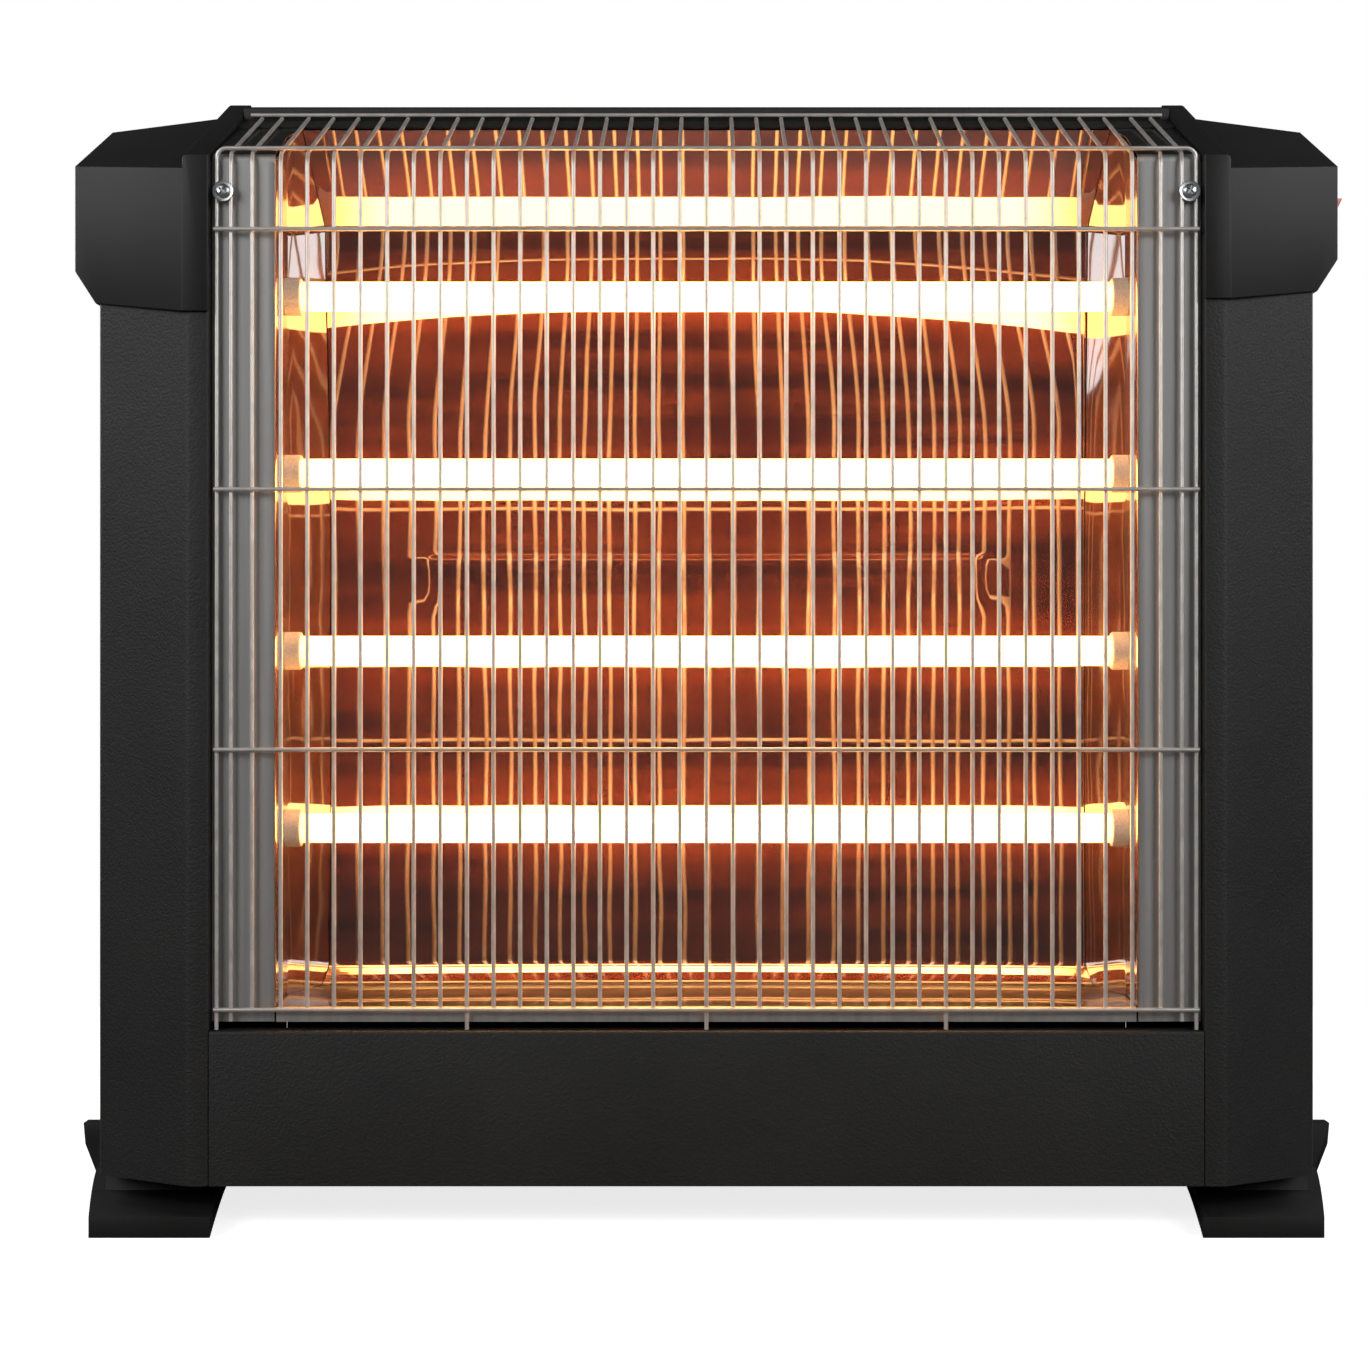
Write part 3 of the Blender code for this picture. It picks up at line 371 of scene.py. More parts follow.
def turn_over(sheet):
    """Let a sheet's faces look to its other side."""
    with editing(sheet):
        bpy.ops.mesh.flip_normals()


def change(piece, kind, **settings):
    """Add a modifier and apply it."""
    pick(piece)
    modifier = piece.modifiers.new(kind.lower(), kind)
    for key, value in settings.items():
        setattr(modifier, key, value)
    bpy.ops.object.modifier_apply(modifier=modifier.name)


def merge_in(piece, operation, tool):
    """Cut a tool from a piece, or weld it on, and remove the tool."""
    change(piece, "BOOLEAN", operation=operation, object=tool, solver="EXACT")
    bpy.data.objects.remove(tool, do_unlink=True)


def round_edges(piece, radius, segments=3, least_turn=25):
    """Round the edges where a piece turns by more than some degrees."""
    turn = math.radians(least_turn)
    change(piece, "BEVEL", width=radius, segments=segments, limit_method="ANGLE", angle_limit=turn)


def slab(name, outline, run):
    """A flat outline that is filled and pushed along a run."""
    piece = trace(name, outline)
    with editing(piece):
        bpy.ops.mesh.edge_face_add()
        bpy.ops.mesh.extrude_region_move(TRANSFORM_OT_translate={"value": run})
    close_up(piece)
    return piece


def lathe(name, profile, centre, axis, steps=32):
    """A piece turned round a level axis. The profile gives places along it and radii."""
    centre = Vector(centre)
    points = [centre + Vector(axis) * place + Vector((0, 0, radius)) for place, radius in profile]
    piece = trace(name, points)
    with editing(piece):
        bpy.ops.mesh.spin(steps=steps, angle=2 * math.pi, center=centre, axis=axis)
    close_up(piece)
    return piece


def fold(name, path, run, radius, away_from):
    """A sheet that is drawn as a bent line, pushed along a run and rounded at its folds.

    Its faces look away from a point, so that thickness can be added on the inside.
    """
    sheet = trace(name, path)
    run = Vector(run)

    def is_fold(edge):
        ends = edge.verts[1].co - edge.verts[0].co
        return not edge.is_boundary and abs(ends.dot(run)) > PARALLEL * ends.length * run.length

    with editing(sheet):
        bpy.ops.mesh.extrude_edges_move(TRANSFORM_OT_translate={"value": run})
        choose(sheet, "EDGE", is_fold)
        bpy.ops.mesh.bevel(offset=radius, segments=FOLD_STEPS, profile=0.5)
        bpy.ops.mesh.select_mode(type="FACE")
        bpy.ops.mesh.select_all(action="SELECT")
        bpy.ops.mesh.normals_make_consistent(inside=False)
        facing = sum(
            face.normal.dot(face.calc_center_median() - Vector(away_from)) * face.calc_area()
            for face in bmesh.from_edit_mesh(sheet.data).faces
        )
        if facing < 0:
            bpy.ops.mesh.flip_normals()
    return sheet


def thicken(sheet, thickness):
    """Give a sheet its thickness on the side that its faces look away from."""
    change(sheet, "SOLIDIFY", thickness=thickness, offset=-1, use_even_offset=True)


def divide(sheet, axis, cuts, least_length=0.0):
    """Cut the edges that run along an axis into equal lengths."""
    with editing(sheet):
        choose(sheet, "EDGE", lambda edge: along(edge, axis) and edge.calc_length() > least_length)
        bpy.ops.mesh.subdivide(number_cuts=cuts)


def pull(sheet, wanted, move, reach):
    """Move the wanted points, and the points within reach of them by less and less."""
    with editing(sheet):
        choose(sheet, "VERT", lambda vertex: wanted(vertex.co))
        bpy.ops.transform.translate(
            value=move,
            use_proportional_edit=True,
            proportional_edit_falloff="INVERSE_SQUARE",
            proportional_size=reach,
        )


def bow_back(mirror, depth):
    """Bow the back of a reflector like a shallow trough that fades out under its hood."""
    group = mirror.vertex_groups.new(name="bow")
    for vertex in mirror.data.vertices:
        across = 1 - ((vertex.co.x - BOW_MIDDLE_X) / (WALL_BACK_X - BOW_MIDDLE_X)) ** 2
        along_floor = (REFLECTOR_LIP_Y - abs(vertex.co.y)) / (REFLECTOR_LIP_Y - REFLECTOR_COVE_Y)
        fade = (vertex.co.z - BOW_FADE_START) / (REFLECTOR_TOP - BOW_FADE_START)
        fade = min(max(fade, 0.0), 1.0)
        up = 1 - fade * fade * (3 - 2 * fade)
        group.add([vertex.index], max(across, 0.0) * min(along_floor, 1.0) * up, "REPLACE")
    change(mirror, "DISPLACE", direction="Y", strength=depth, mid_level=0.0, vertex_group="bow")
    mirror.vertex_groups.clear()


def ripple(sheet, height, length):
    """Waves of a thin sheet that was never quite flat."""
    waves = bpy.data.textures.new(f"{sheet.name}_waves", "CLOUDS")
    waves.noise_scale = length
    waves.noise_depth = 1
    change(sheet, "DISPLACE", texture=waves, texture_coords="LOCAL", strength=height, mid_level=0.5)


def weld_together(name, pieces):
    """Join loose objects into one."""
    pick(pieces[0])
    for piece in pieces:
        piece.select_set(True)
    bpy.ops.object.join()
    joined = bpy.context.object
    joined.name = name
    joined.data.name = name
    return joined


def fit_out(piece, node, look, body="heater", least_corner=35):
    """Shade a finished piece, and let it stand for its CAD node in its material, on its body."""
    pick(piece)
    bpy.ops.object.shade_smooth_by_angle(angle=math.radians(least_corner))
    piece.data.materials.clear()
    piece.data.materials.append(look)
    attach(piece, body)
    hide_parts(node)


def assign_look(piece, look, wanted):
    """Give the wanted faces of a piece one more material."""
    piece.data.materials.append(look)
    piece.active_material_index = len(piece.data.materials) - 1
    with editing(piece):
        choose(piece, "FACE", wanted)
        bpy.ops.object.material_slot_assign()


# Materials


def linear(code):
    """A colour from its sRGB hex code."""
    channels = [int(code[place:place + 2], 16) / 255 for place in (1, 3, 5)]
    light = [c / 12.92 if c <= 0.04045 else ((c + 0.055) / 1.055) ** 2.4 for c in channels]
    return (*light, 1.0)


def add_node(tree, kind, values=None, links=None, output=None, **settings):
    """Add a node, set its properties and inputs, and link inputs to (node, output) pairs.

    With an output named, the pair for further links comes back instead of the node.
    """
    node = tree.nodes.new(kind)
    for key, value in settings.items():
        setattr(node, key, value)
    for key, value in (values or {}).items():
        node.inputs[key].default_value = value
    for key, (source, socket) in (links or {}).items():
        tree.links.new(source.outputs[socket], node.inputs[key])
    return (node, output) if output else node


def add_place(tree):
    """The place in the object's own metres."""
    return add_node(tree, "ShaderNodeTexCoord", output="Object")


def add_noise(tree, size, detail, roughness=0.5):
    """Noise with patches of a real size, or of one size along each axis."""
    place = add_place(tree)
    values = {"Detail": detail, "Roughness": roughness}
    if isinstance(size, tuple):
        scale = [1 / length for length in size]
        place = add_node(tree, "ShaderNodeMapping", {"Scale": scale}, {"Vector": place}, "Vector")
        values["Scale"] = 1.0
    else:
        values["Scale"] = 1 / size
    return add_node(tree, "ShaderNodeTexNoise", values, {"Vector": place}, "Fac")


def add_ramp(tree, source, *stops):
    """Colours along a value, as places with a hex code or with linear numbers."""
    ramp = add_node(tree, "ShaderNodeValToRGB", links={"Fac": source})
    elements = ramp.color_ramp.elements
    while len(elements) < len(stops):
        elements.new(0.5)
    for element, (place, colour) in zip(elements, stops):
        element.position = place
        element.color = linear(colour) if isinstance(colour, str) else (*colour, 1.0)
    return (ramp, "Color")


def add_range(tree, source, low, high, start=0.0, end=1.0):
    """A value that goes from low to high while its source goes from start to end."""
    values = {"From Min": start, "From Max": end, "To Min": low, "To Max": high}
    return add_node(tree, "ShaderNodeMapRange", values, {"Value": source}, "Result")


def add_bump(tree, source, strength, height):
    """Relief of a real height in metres."""
    values = {"Strength": strength, "Distance": height}
    return add_node(tree, "ShaderNodeBump", values, {"Height": source}, "Normal")


def add_shader(tree, values, **links):
    """The shader and the output, with links named as the sockets are, but with _ for a space."""
    links = {key.replace("_", " "): pair for key, pair in links.items()}
    surface = add_node(tree, "ShaderNodeBsdfPrincipled", values, links, "BSDF")
    add_node(tree, "ShaderNodeOutputMaterial", links={"Surface": surface})


def material(build):
    """Let a function return the material of its own name, which it builds when first asked."""

    @wraps(build)
    def ready():
        look = bpy.data.materials.get(build.__name__)
        if look is None:
            look = bpy.data.materials.new(build.__name__)
            look.use_nodes = True
            look.node_tree.nodes.clear()
            build(look.node_tree)
        return look

    return ready


@material
def textured_powder_coat(tree):
    """Polyester powder coat, sprayed and baked on sheet steel.

    The melted powder leaves a fine pebbled skin, with soft broken highlights on deep black.
    """
    # Pebbles drawn a little coarser than the real 0.8 mm, so that they show.
    pebbles = add_noise(tree, bpy.context.scene.heater_shell.coat_grain, 3.0, 0.55)
    # Cloudy differences of the film over some 60 mm.
    clouds = add_noise(tree, 0.060, 2.0)
    add_shader(
        tree,
        {"IOR": 1.52},
        Base_Color=add_ramp(tree, clouds, (0.35, "#131313"), (0.70, "#1b1b1a")),
        Roughness=add_range(tree, pebbles, 0.46, 0.62),
        Normal=add_bump(tree, pebbles, 0.9, 0.00030),
    )


@material
def moulded_abs(tree):
    """Black ABS, injection moulded in a lightly sand blasted tool.

    It looks smooth and matt, a touch more even and greyer than the powder coat.
    """
    # Blasted tool grain of 0.2 mm, drawn at 0.5 mm so that it shows.
    grain = add_noise(tree, 0.0005, 2.0)
    # Flow differences over some 50 mm.
    flow = add_noise(tree, 0.050, 1.0)
    add_shader(
        tree,
        {"IOR": 1.54, "Specular IOR Level": 0.3},
        Base_Color=add_ramp(tree, flow, (0.30, "#1a1a1a"), (0.75, "#202020")),
        Roughness=add_range(tree, grain, 0.38, 0.50),
        Normal=add_bump(tree, grain, 0.25, 0.00004),
    )


def rolled_steel(tree, dark, pale, shine):
    """Bright annealed stainless sheet, whose colours are painted glow behind the tubes and painted
    shade elsewhere.

    Its hard polished skin, which is the coat here, mirrors the guard sharply. The duller
    metal under it spreads the tubes' light into a haze.
    """
    # Rolling bands along X, some 11 mm apart.
    bands = add_noise(tree, (0.600, 0.011, 0.011), 3.0, 0.6)
    # Patches of the painted tint about 50 mm wide.
    tint = add_noise(tree, 0.050, 2.0)
    links = {0: tint, 2: bands}
    both = add_node(tree, "ShaderNodeMath", {1: 0.4}, links, "Value", operation="MULTIPLY_ADD")
    share = add_range(tree, both, 0.0, 1.0, 0.55, 0.85)
    waves = add_bump(tree, tint, 0.4, 0.0001)
    add_shader(
        tree,
        {"Metallic": 1.0, "Coat Weight": shine, "Coat Roughness": 0.03, "Coat IOR": 4.0},
        Base_Color=add_ramp(tree, share, (0.0, dark), (1.0, pale)),
        Roughness=add_range(tree, share, 0.38, 0.44),
        Normal=waves,
        Coat_Normal=waves,
    )


@material
def bright_rolled_steel(tree):
    """The sheet behind the tubes, painted red brown: painted glow that deepens the tubes' orange
    light into a haze.
    """
    rolled_steel(tree, "#4a1c0b", "#70361c", 1.0)


@material
def painted_shade_rolled_steel(tree):
    """The floor of a reflector and the flaps above it, painted dark grey: painted shade for the dark
    room that they mirror.
    """
    rolled_steel(tree, "#151210", "#1e1b1a", 0.40)


@material
def aluminised_sheet(tree):
    """Hot dip aluminised steel sheet, stamped and folded.

    Its skin is an even silver grey and dull, with faint upright streaks from the rolling.
    """
    # Upright streaks 3 mm apart from the sheet's rolling.
    streaks = add_noise(tree, (0.003, 0.003, 0.150), 3.0)
    # Dents of about 25 mm from handling.
    dents = add_noise(tree, 0.025, 1.0)
    add_shader(
        tree,
        {"Metallic": 1.0},
        Base_Color=add_ramp(tree, streaks, (0.30, "#a2a2a1"), (0.70, "#b2b2b0")),
        Roughness=add_range(tree, streaks, 0.50, 0.60),
        Normal=add_bump(tree, dents, 0.4, 0.0003),
    )


@material
def satin_chrome(tree):
    """Drawn steel wire with a thin satin chrome plating.

    The fine drawing marks under the plating scatter about as much light as its gloss mirrors,
    so the wires look evenly silvery, and orange on the side of the tubes.
    """
    # Differences of the plating over some 8 mm of wire.
    plating = add_noise(tree, 0.008, 2.0)
    add_shader(
        tree,
        {"Metallic": 0.55},
        Base_Color=add_ramp(tree, plating, (0.30, "#cdc8c4"), (0.70, "#e2ddd8")),
        Roughness=add_range(tree, plating, 0.30, 0.42),
    )


@material
def zinc_plate(tree):
    """Zinc plated steel of the screws and the base pan, bluish silver and half matt."""
    # Crystals of about 4 mm.
    links = {"Vector": add_place(tree)}
    crystals = add_node(tree, "ShaderNodeTexVoronoi", {"Scale": 1 / 0.004}, links, "Distance")
    add_shader(
        tree,
        {"Metallic": 1.0},
        Base_Color=add_ramp(tree, crystals, (0.10, "#d6d9da"), (0.80, "#b9bdbf")),
        Roughness=add_range(tree, crystals, 0.24, 0.38),
    )


def from_middle(tree):
    """The distance from the heater's middle plane."""
    parts = add_node(tree, "ShaderNodeSeparateXYZ", links={"Vector": add_place(tree)}, output="X")
    return add_node(tree, "ShaderNodeMath", links={0: parts}, output="Value", operation="ABSOLUTE")


@material
def glowing_quartz(tree):
    """Satin quartz pipe, drawn and lit through by the coil inside.

    The eye sees an even pale yellow bar, slightly greener and dimmer at the ends, and the
    light that it sends out is orange.
    """
    # The coil's turns, 2.2 mm apart, show as a faint mottle.
    mottle = add_range(tree, add_noise(tree, 0.0022, 1.0), -0.006, 0.006)
    links = {0: from_middle(tree), 1: mottle}
    reach = add_node(tree, "ShaderNodeMath", links=links, output="Value", operation="ADD")
    # The ramp holds the ratio of red, green and blue, and the strength makes it bright.
    glow = add_ramp(
        tree,
        add_range(tree, reach, 0.0, 1.0, 0.0, TUBE_HALF_LENGTH),
        (0.0, (1.0, 0.46, 0.140)),
        (0.80, (0.92, 0.42, 0.120)),
        (0.93, (0.50, 0.20, 0.040)),
        (0.98, (0.10, 0.020, 0.002)),
    )
    strength = bpy.context.scene.heater_tubes.glow_strength
    values = {"Roughness": 0.22, "IOR": 1.46, "Emission Strength": strength}
    add_shader(tree, {"Base Color": linear("#efe6d8"), **values}, Emission_Color=glow)


@material
def glowing_wire(tree):
    """Iron chromium alloy wire at working heat. The coil is yellow and its cold pins are grey."""
    heat = add_range(tree, from_middle(tree), 0.0, 1.0, PIN_START, COIL_HALF_LENGTH)
    values = {"Roughness": 0.55, "Metallic": 1.0, "Emission Strength": 1.0}
    add_shader(
        tree,
        {"Base Color": linear("#8b8078"), **values},
        Emission_Color=add_ramp(tree, heat, (0.0, (0.0, 0.0, 0.0)), (1.0, (1.0, 0.35, 0.07))),
    )
    # No lamp rays go to the coils, because the pipes round them hide them.
    bpy.data.materials["glowing_wire"].cycles.emission_sampling = "NONE"


def fine_grained(tree, colours, grain, gloss, depth, ior):
    """A non metal whose colour, gloss and bump follow one grain of a real size."""
    specks = add_noise(tree, grain, 3.0)
    add_shader(
        tree,
        {"IOR": ior},
        Base_Color=add_ramp(tree, specks, *zip((0.35, 0.65), colours)),
        Roughness=add_range(tree, specks, *gloss),
        Normal=add_bump(tree, specks, 0.4, depth),
    )


@material
def quartz_bore(tree):
    """The bore of a quartz pipe, which is smooth, pale and clouded by the coil's oxide."""
    fine_grained(tree, ("#d9cfc0", "#f0e8dc"), 0.004, (0.15, 0.25), 0.00002, 1.46)


@material
def steatite(tree):
    """Dry pressed steatite ceramic, cream white and chalky, with pores of about 1 mm."""
    fine_grained(tree, ("#d8cfc0", "#ece4d6"), 0.001, (0.55, 0.75), 0.00008, 1.58)


@material
def natural_nylon(tree):
    """Moulded natural nylon of the terminal strip, milky and half matt."""
    fine_grained(tree, ("#d9d5c8", "#e6e2d6"), 0.006, (0.35, 0.50), 0.00004, 1.53)


@material
def silicone_sleeve(tree):
    """Silicone rubber sleeves round the wires, soft white and dull."""
    fine_grained(tree, ("#cfcdc8", "#e0deda"), 0.003, (0.60, 0.75), 0.00006, 1.41)


@material
def red_polycarbonate(tree):
    """Clear red polycarbonate of the rockers, with the lamp behind it lit."""
    # The lamp behind shows as a bright patch of some 6 mm.
    patch = add_noise(tree, 0.006, 0.0)
    values = {"Roughness": 0.18, "IOR": 1.58, "Emission Strength": 0.35}
    add_shader(
        tree,
        {"Base Color": linear("#a81c10"), **values},
        Emission_Color=add_ramp(tree, patch, (0.35, "#8c1206"), (0.65, "#ff4a1e")),
    )


@material
def studio_floor_paint(tree):
    """Matt white floor paint, which the camera sees brighter than the heater does."""
    settings = bpy.context.scene.heater_stage
    seen = add_node(tree, "ShaderNodeLightPath", output="Is Camera Ray")
    values = {1: settings.floor_glow}
    glow = add_node(tree, "ShaderNodeMath", values, {0: seen}, "Value", operation="MULTIPLY")
    add_shader(
        tree,
        {"Roughness": 0.9, "Specular IOR Level": 0.1, "Emission Color": linear("#ffffff")},
        Base_Color=add_range(tree, seen, settings.floor_bounce, 0.8),
        Emission_Strength=glow,
    )


# Pieces


def make_foot(side_name, side):
    """A bowed plate with a pedestal under the column and a thin lug beside it."""
    across = signed(side, TOE_INNER, TOE_OUTER)
    lengthwise = around(0, FOOT_HALF_LENGTH)
    foot = block(f"{side_name}_foot_moulding", across, lengthwise, (0, FOOT_PLATE_HEIGHT))
    divide(foot, 1, FOOT_ROWS - 1)
    with editing(foot):
        for row in range(1, FOOT_ROWS):
            y = FOOT_HALF_LENGTH * (2 * row / FOOT_ROWS - 1)
            share = 1 - (abs(y) / FOOT_HALF_LENGTH) ** FOOT_BOW_POWER
            for toe, bow in ((TOE_INNER, FOOT_INNER_BOW), (TOE_OUTER, FOOT_OUTER_BOW)):
                near = Vector((side * toe, y))
                choose(foot, "VERT", lambda vertex: (vertex.co.xy - near).length < FIT_GAP)
                bpy.ops.transform.translate(value=(side * bow * share, 0, 0))
    close_up(foot)
    across = signed(side, TOE_INNER + FOOT_INNER_BOW + SHEET, COLUMN_OUTER + SHEET)
    upright = (FOOT_PLATE_HEIGHT / 2, PEDESTAL_TOP)
    merge_in(foot, "UNION", block("pedestal", across, around(0, PEDESTAL_HALF_LENGTH), upright))
    outline = [(side * (COLUMN_OUTER + FIT_GAP + x), -LUG_HALF_LENGTH, z) for x, z in LUG_CORNERS]
    merge_in(foot, "UNION", slab("lug", outline, (0, 2 * LUG_HALF_LENGTH, 0)))
    round_edges(foot, FOOT_EDGE)
    fit_out(foot, f"{side_name}_foot", moulded_abs())


def shell_sheet(name, path, run, inside):
    """A folded sheet of the shell, which is thickened towards a point inside it."""
    sheet = fold(name, path, run, bpy.context.scene.heater_shell.fold_radius, inside)
    thicken(sheet, SHEET)
    return sheet


def column_corners(side, height, grow=0.0):
    """The column's front corners from above, from the opening outwards."""
    slant = grow * CHAMFER_GROWTH
    corners = (
        (OPENING_HALF_WIDTH, HALF_DEPTH + grow),
        (COLUMN_STRIP_X + slant, HALF_DEPTH + grow),
        (COLUMN_OUTER + grow, COLUMN_SIDE_HALF + slant),
    )
    return [(side * x, -y, height) for x, y in corners]


def make_column(side_name, side):
    """A folded cover that is open towards the middle, with a hole for the cord at the right."""
    inner = (side * OPENING_HALF_WIDTH, COLUMN_RETURN - HALF_DEPTH, BODY_BOTTOM)
    path = mirrored([inner, *column_corners(side, BODY_BOTTOM)])
    rise = (0, 0, COLUMN_TOP[side_name] - BODY_BOTTOM)
    middle = (side * COLUMN_STRIP_X, 0, EAVE_HEIGHT / 2)
    cover = shell_sheet(f"{side_name}_column_sheet", path, rise, middle)
    if side_name == "right":
        bpy.ops.mesh.primitive_cylinder_add(
            vertices=24,
            radius=CORD_HOLE_RADIUS,
            depth=COLUMN_RETURN,
            location=GLAND_PLACE,
            rotation=(0, math.pi / 2, GLAND_ANGLE),
        )
        merge_in(cover, "DIFFERENCE", settle("cord_hole"))
    fit_out(cover, f"{side_name}_column_cover", textured_powder_coat())


def make_cap(side_name, side):
    """A moulded cap with a pitched top, slanting corners and a raised rim beside the guards."""
    settings = bpy.context.scene.heater_shell
    bottom = CAP_BOTTOM[side_name]
    depth = around(0, CAP_HALF_DEPTH)
    across = signed(side, CAP_STRIP_X - SHEET, CAP_OUTER)
    cap = block(f"{side_name}_cap_moulding", across, depth, (bottom, CAP_BLANK_TOP))
    corner_run = CAP_OUTER - CAP_STRIP_X
    corner_depth = CAP_HALF_DEPTH - CAP_SIDE_HALF
    for face in FACES.values():
        eave = (side * CAP_STRIP_X, face * HALF_DEPTH, EAVE_HEIGHT)
        slice_off(cap, eave, (side * CAP_OUTWARD_FALL, face * CAP_ROOF_SLOPE, 1))
        strip = (side * CAP_STRIP_X, face * CAP_HALF_DEPTH, 0)
        slice_off(cap, strip, (side * corner_depth, face * corner_run, 0))
    low_corner = (side * CAP_CORNER_X, 0, bottom + CAP_CORNER_LOW)
    slice_off(cap, low_corner, (side * CAP_CORNER_LOW, 0, CAP_STRIP_X - CAP_CORNER_X))
    height = CAP_CORNER_HIGH - CAP_CORNER_LOW
    slice_off(cap, low_corner, (side * height, 0, CAP_CORNER_X - CAP_OUTER))
    round_edges(cap, settings.moulding_radius)
    across = signed(side, OPENING_HALF_WIDTH, CAP_STRIP_X)
    rim = block("rim", across, depth, (bottom, CAP_BLANK_TOP))
    for face in FACES.values():
        eave = (side * CAP_STRIP_X, face * HALF_DEPTH, EAVE_HEIGHT + CAP_RIM_RISE)
        slice_off(rim, eave, (0, face * CAP_ROOF_SLOPE, 1))
    outer = lambda edge: lies_at(edge, 0, side * CAP_STRIP_X)
    high = lambda edge: all(end.co.z > EAVE_HEIGHT for end in edge.verts)
    with editing(rim):
        choose(rim, "EDGE", lambda edge: outer(edge) and high(edge))
        bpy.ops.mesh.bevel(offset=CAP_RIM_ROUNDING, segments=5)
    round_edges(rim, settings.moulding_radius / 2, least_turn=40)
    merge_in(cap, "UNION", rim)
    corners = column_corners(side, bottom - SHEET, FIT_GAP)
    corners[0] = (side * (OPENING_HALF_WIDTH - SHEET), *corners[0][1:])
    socket_height = COLUMN_TOP[side_name] + FIT_GAP - bottom + SHEET
    merge_in(cap, "DIFFERENCE", slab("socket", mirrored(corners), (0, 0, socket_height)))
    if side_name == "right":
        across = (CAP_OUTER - WINDOW_DEPTH, CAP_OUTER + SHEET)
        upright = around(SWITCH_Z, BODY_HALF[1] + FIT_GAP)
        for place in SWITCH_PLACES:
            window = block("window", across, around(place, BODY_HALF[0] + FIT_GAP), upright)
            merge_in(cap, "DIFFERENCE", window)
    fit_out(cap, f"{side_name}_cap", moulded_abs())


def make_top_bar():
    """The folded bar along the ridge, whose skirts carry the ends of both guards."""
    reach = OPENING_HALF_WIDTH - FIT_GAP
    half = (
        (-reach, -BAR_SKIRT_END, BAR_SKIRT_LOW),
        (-reach, -RIDGE_HALF_WIDTH, BAR_SKIRT_HIGH),
        (-reach, -RIDGE_HALF_WIDTH, RIDGE_TOP),
    )
    inside = (0, 0, CAP_BOTTOM["left"])
    bar = shell_sheet("top_bar_sheet", mirrored(half), (2 * reach, 0, 0), inside)
    fit_out(bar, "top_bar", textured_powder_coat())


def make_lower_panel(face_name, face):
    """The plain front of the base, with a flange along its top."""
    reach = OPENING_HALF_WIDTH - PANEL_END_GAP
    path = (
        (-reach, face * HALF_DEPTH, BODY_BOTTOM),
        (-reach, face * HALF_DEPTH, PANEL_TOP),
        (-reach, face * (HALF_DEPTH - PANEL_FLANGE), PANEL_TOP),
    )
    inside = (0, 0, BODY_BOTTOM)
    panel = shell_sheet(f"{face_name}_panel_sheet", path, (2 * reach, 0, 0), inside)
    fit_out(panel, f"{face_name}_lower_panel", textured_powder_coat())


def trim_to_walls(sheet, face):
    """Cut a sheet's ends along the walls of its chamber's side sheets."""
    for side in SIDES.values():
        places = [Vector((side * (x - FIT_GAP), face * y, 0)) for x, y in WALL_CORNERS]
        for start, end in zip(places, places[1:]):
            run = (end - start) * side * face
            slice_off(sheet, start, (-run.y, run.x, 0), fill=False)


def make_reflector(face_name, face):
    """The bright sheet behind four tubes: a lip, a floor, a cove, a back and a leaning hood."""
    settings = bpy.context.scene.heater_reflectors
    outline = (
        (REFLECTOR_LIP_Y, REFLECTOR_LIP_LOW),
        (REFLECTOR_LIP_Y, REFLECTOR_FLOOR),
        (REFLECTOR_COVE_Y, REFLECTOR_FLOOR),
        (REFLECTOR_BACK_Y, REFLECTOR_COVE_Z),
        *BACK_CREASES,
        (REFLECTOR_BACK_Y + BACK_TOP_LEAN, REFLECTOR_TOP),
        HOOD_END,
    )
    reach = WALL_KNEE_X + SHEET
    path = [(-reach, face * y, z) for y, z in outline]
    front = (0, face * HALF_DEPTH, BEAD_Z)
    name = f"{face_name}_reflector_sheet"
    mirror = fold(name, path, (2 * reach, 0, 0), settings.fold_radius, front)
    turn_over(mirror)
    for cuts in MIRROR_CUTS:
        divide(mirror, *cuts)
    bow_back(mirror, -face * settings.bow)
    hood = lambda place: abs(place.z - HOOD_MIDDLE_Z) < HOOD_BAND
    pull(mirror, hood, (0, -face * HOOD_HOLLOW, HOOD_HOLLOW / 2), HOOD_REACH)
    bead = lambda place: abs(place.z - BEAD_Z) < BEAD_HALF_HEIGHT and abs(place.x) < BEAD_REACH
    pull(mirror, bead, (0, face * settings.bead_height, 0), BEAD_SHOULDER)
    ripple(mirror, settings.wave_height, settings.wave_length)
    trim_to_walls(mirror, face)
    thicken(mirror, settings.thickness)
    node = f"{face_name}_reflector"
    # Painted glow: the reflector takes the red brown sheet colour.
    fit_out(mirror, node, bright_rolled_steel(), least_corner=60)
    low = REFLECTOR_FLOOR + 2 * SHEET
    floor = lambda polygon: polygon.calc_center_median().z < low
    # Painted shade: the reflector's floor takes the dark grey sheet colour.
    assign_look(mirror, painted_shade_rolled_steel(), floor)
    lip = lambda polygon: floor(polygon) and abs(polygon.normal.y) > 0.5
    assign_look(mirror, aluminised_sheet(), lip)


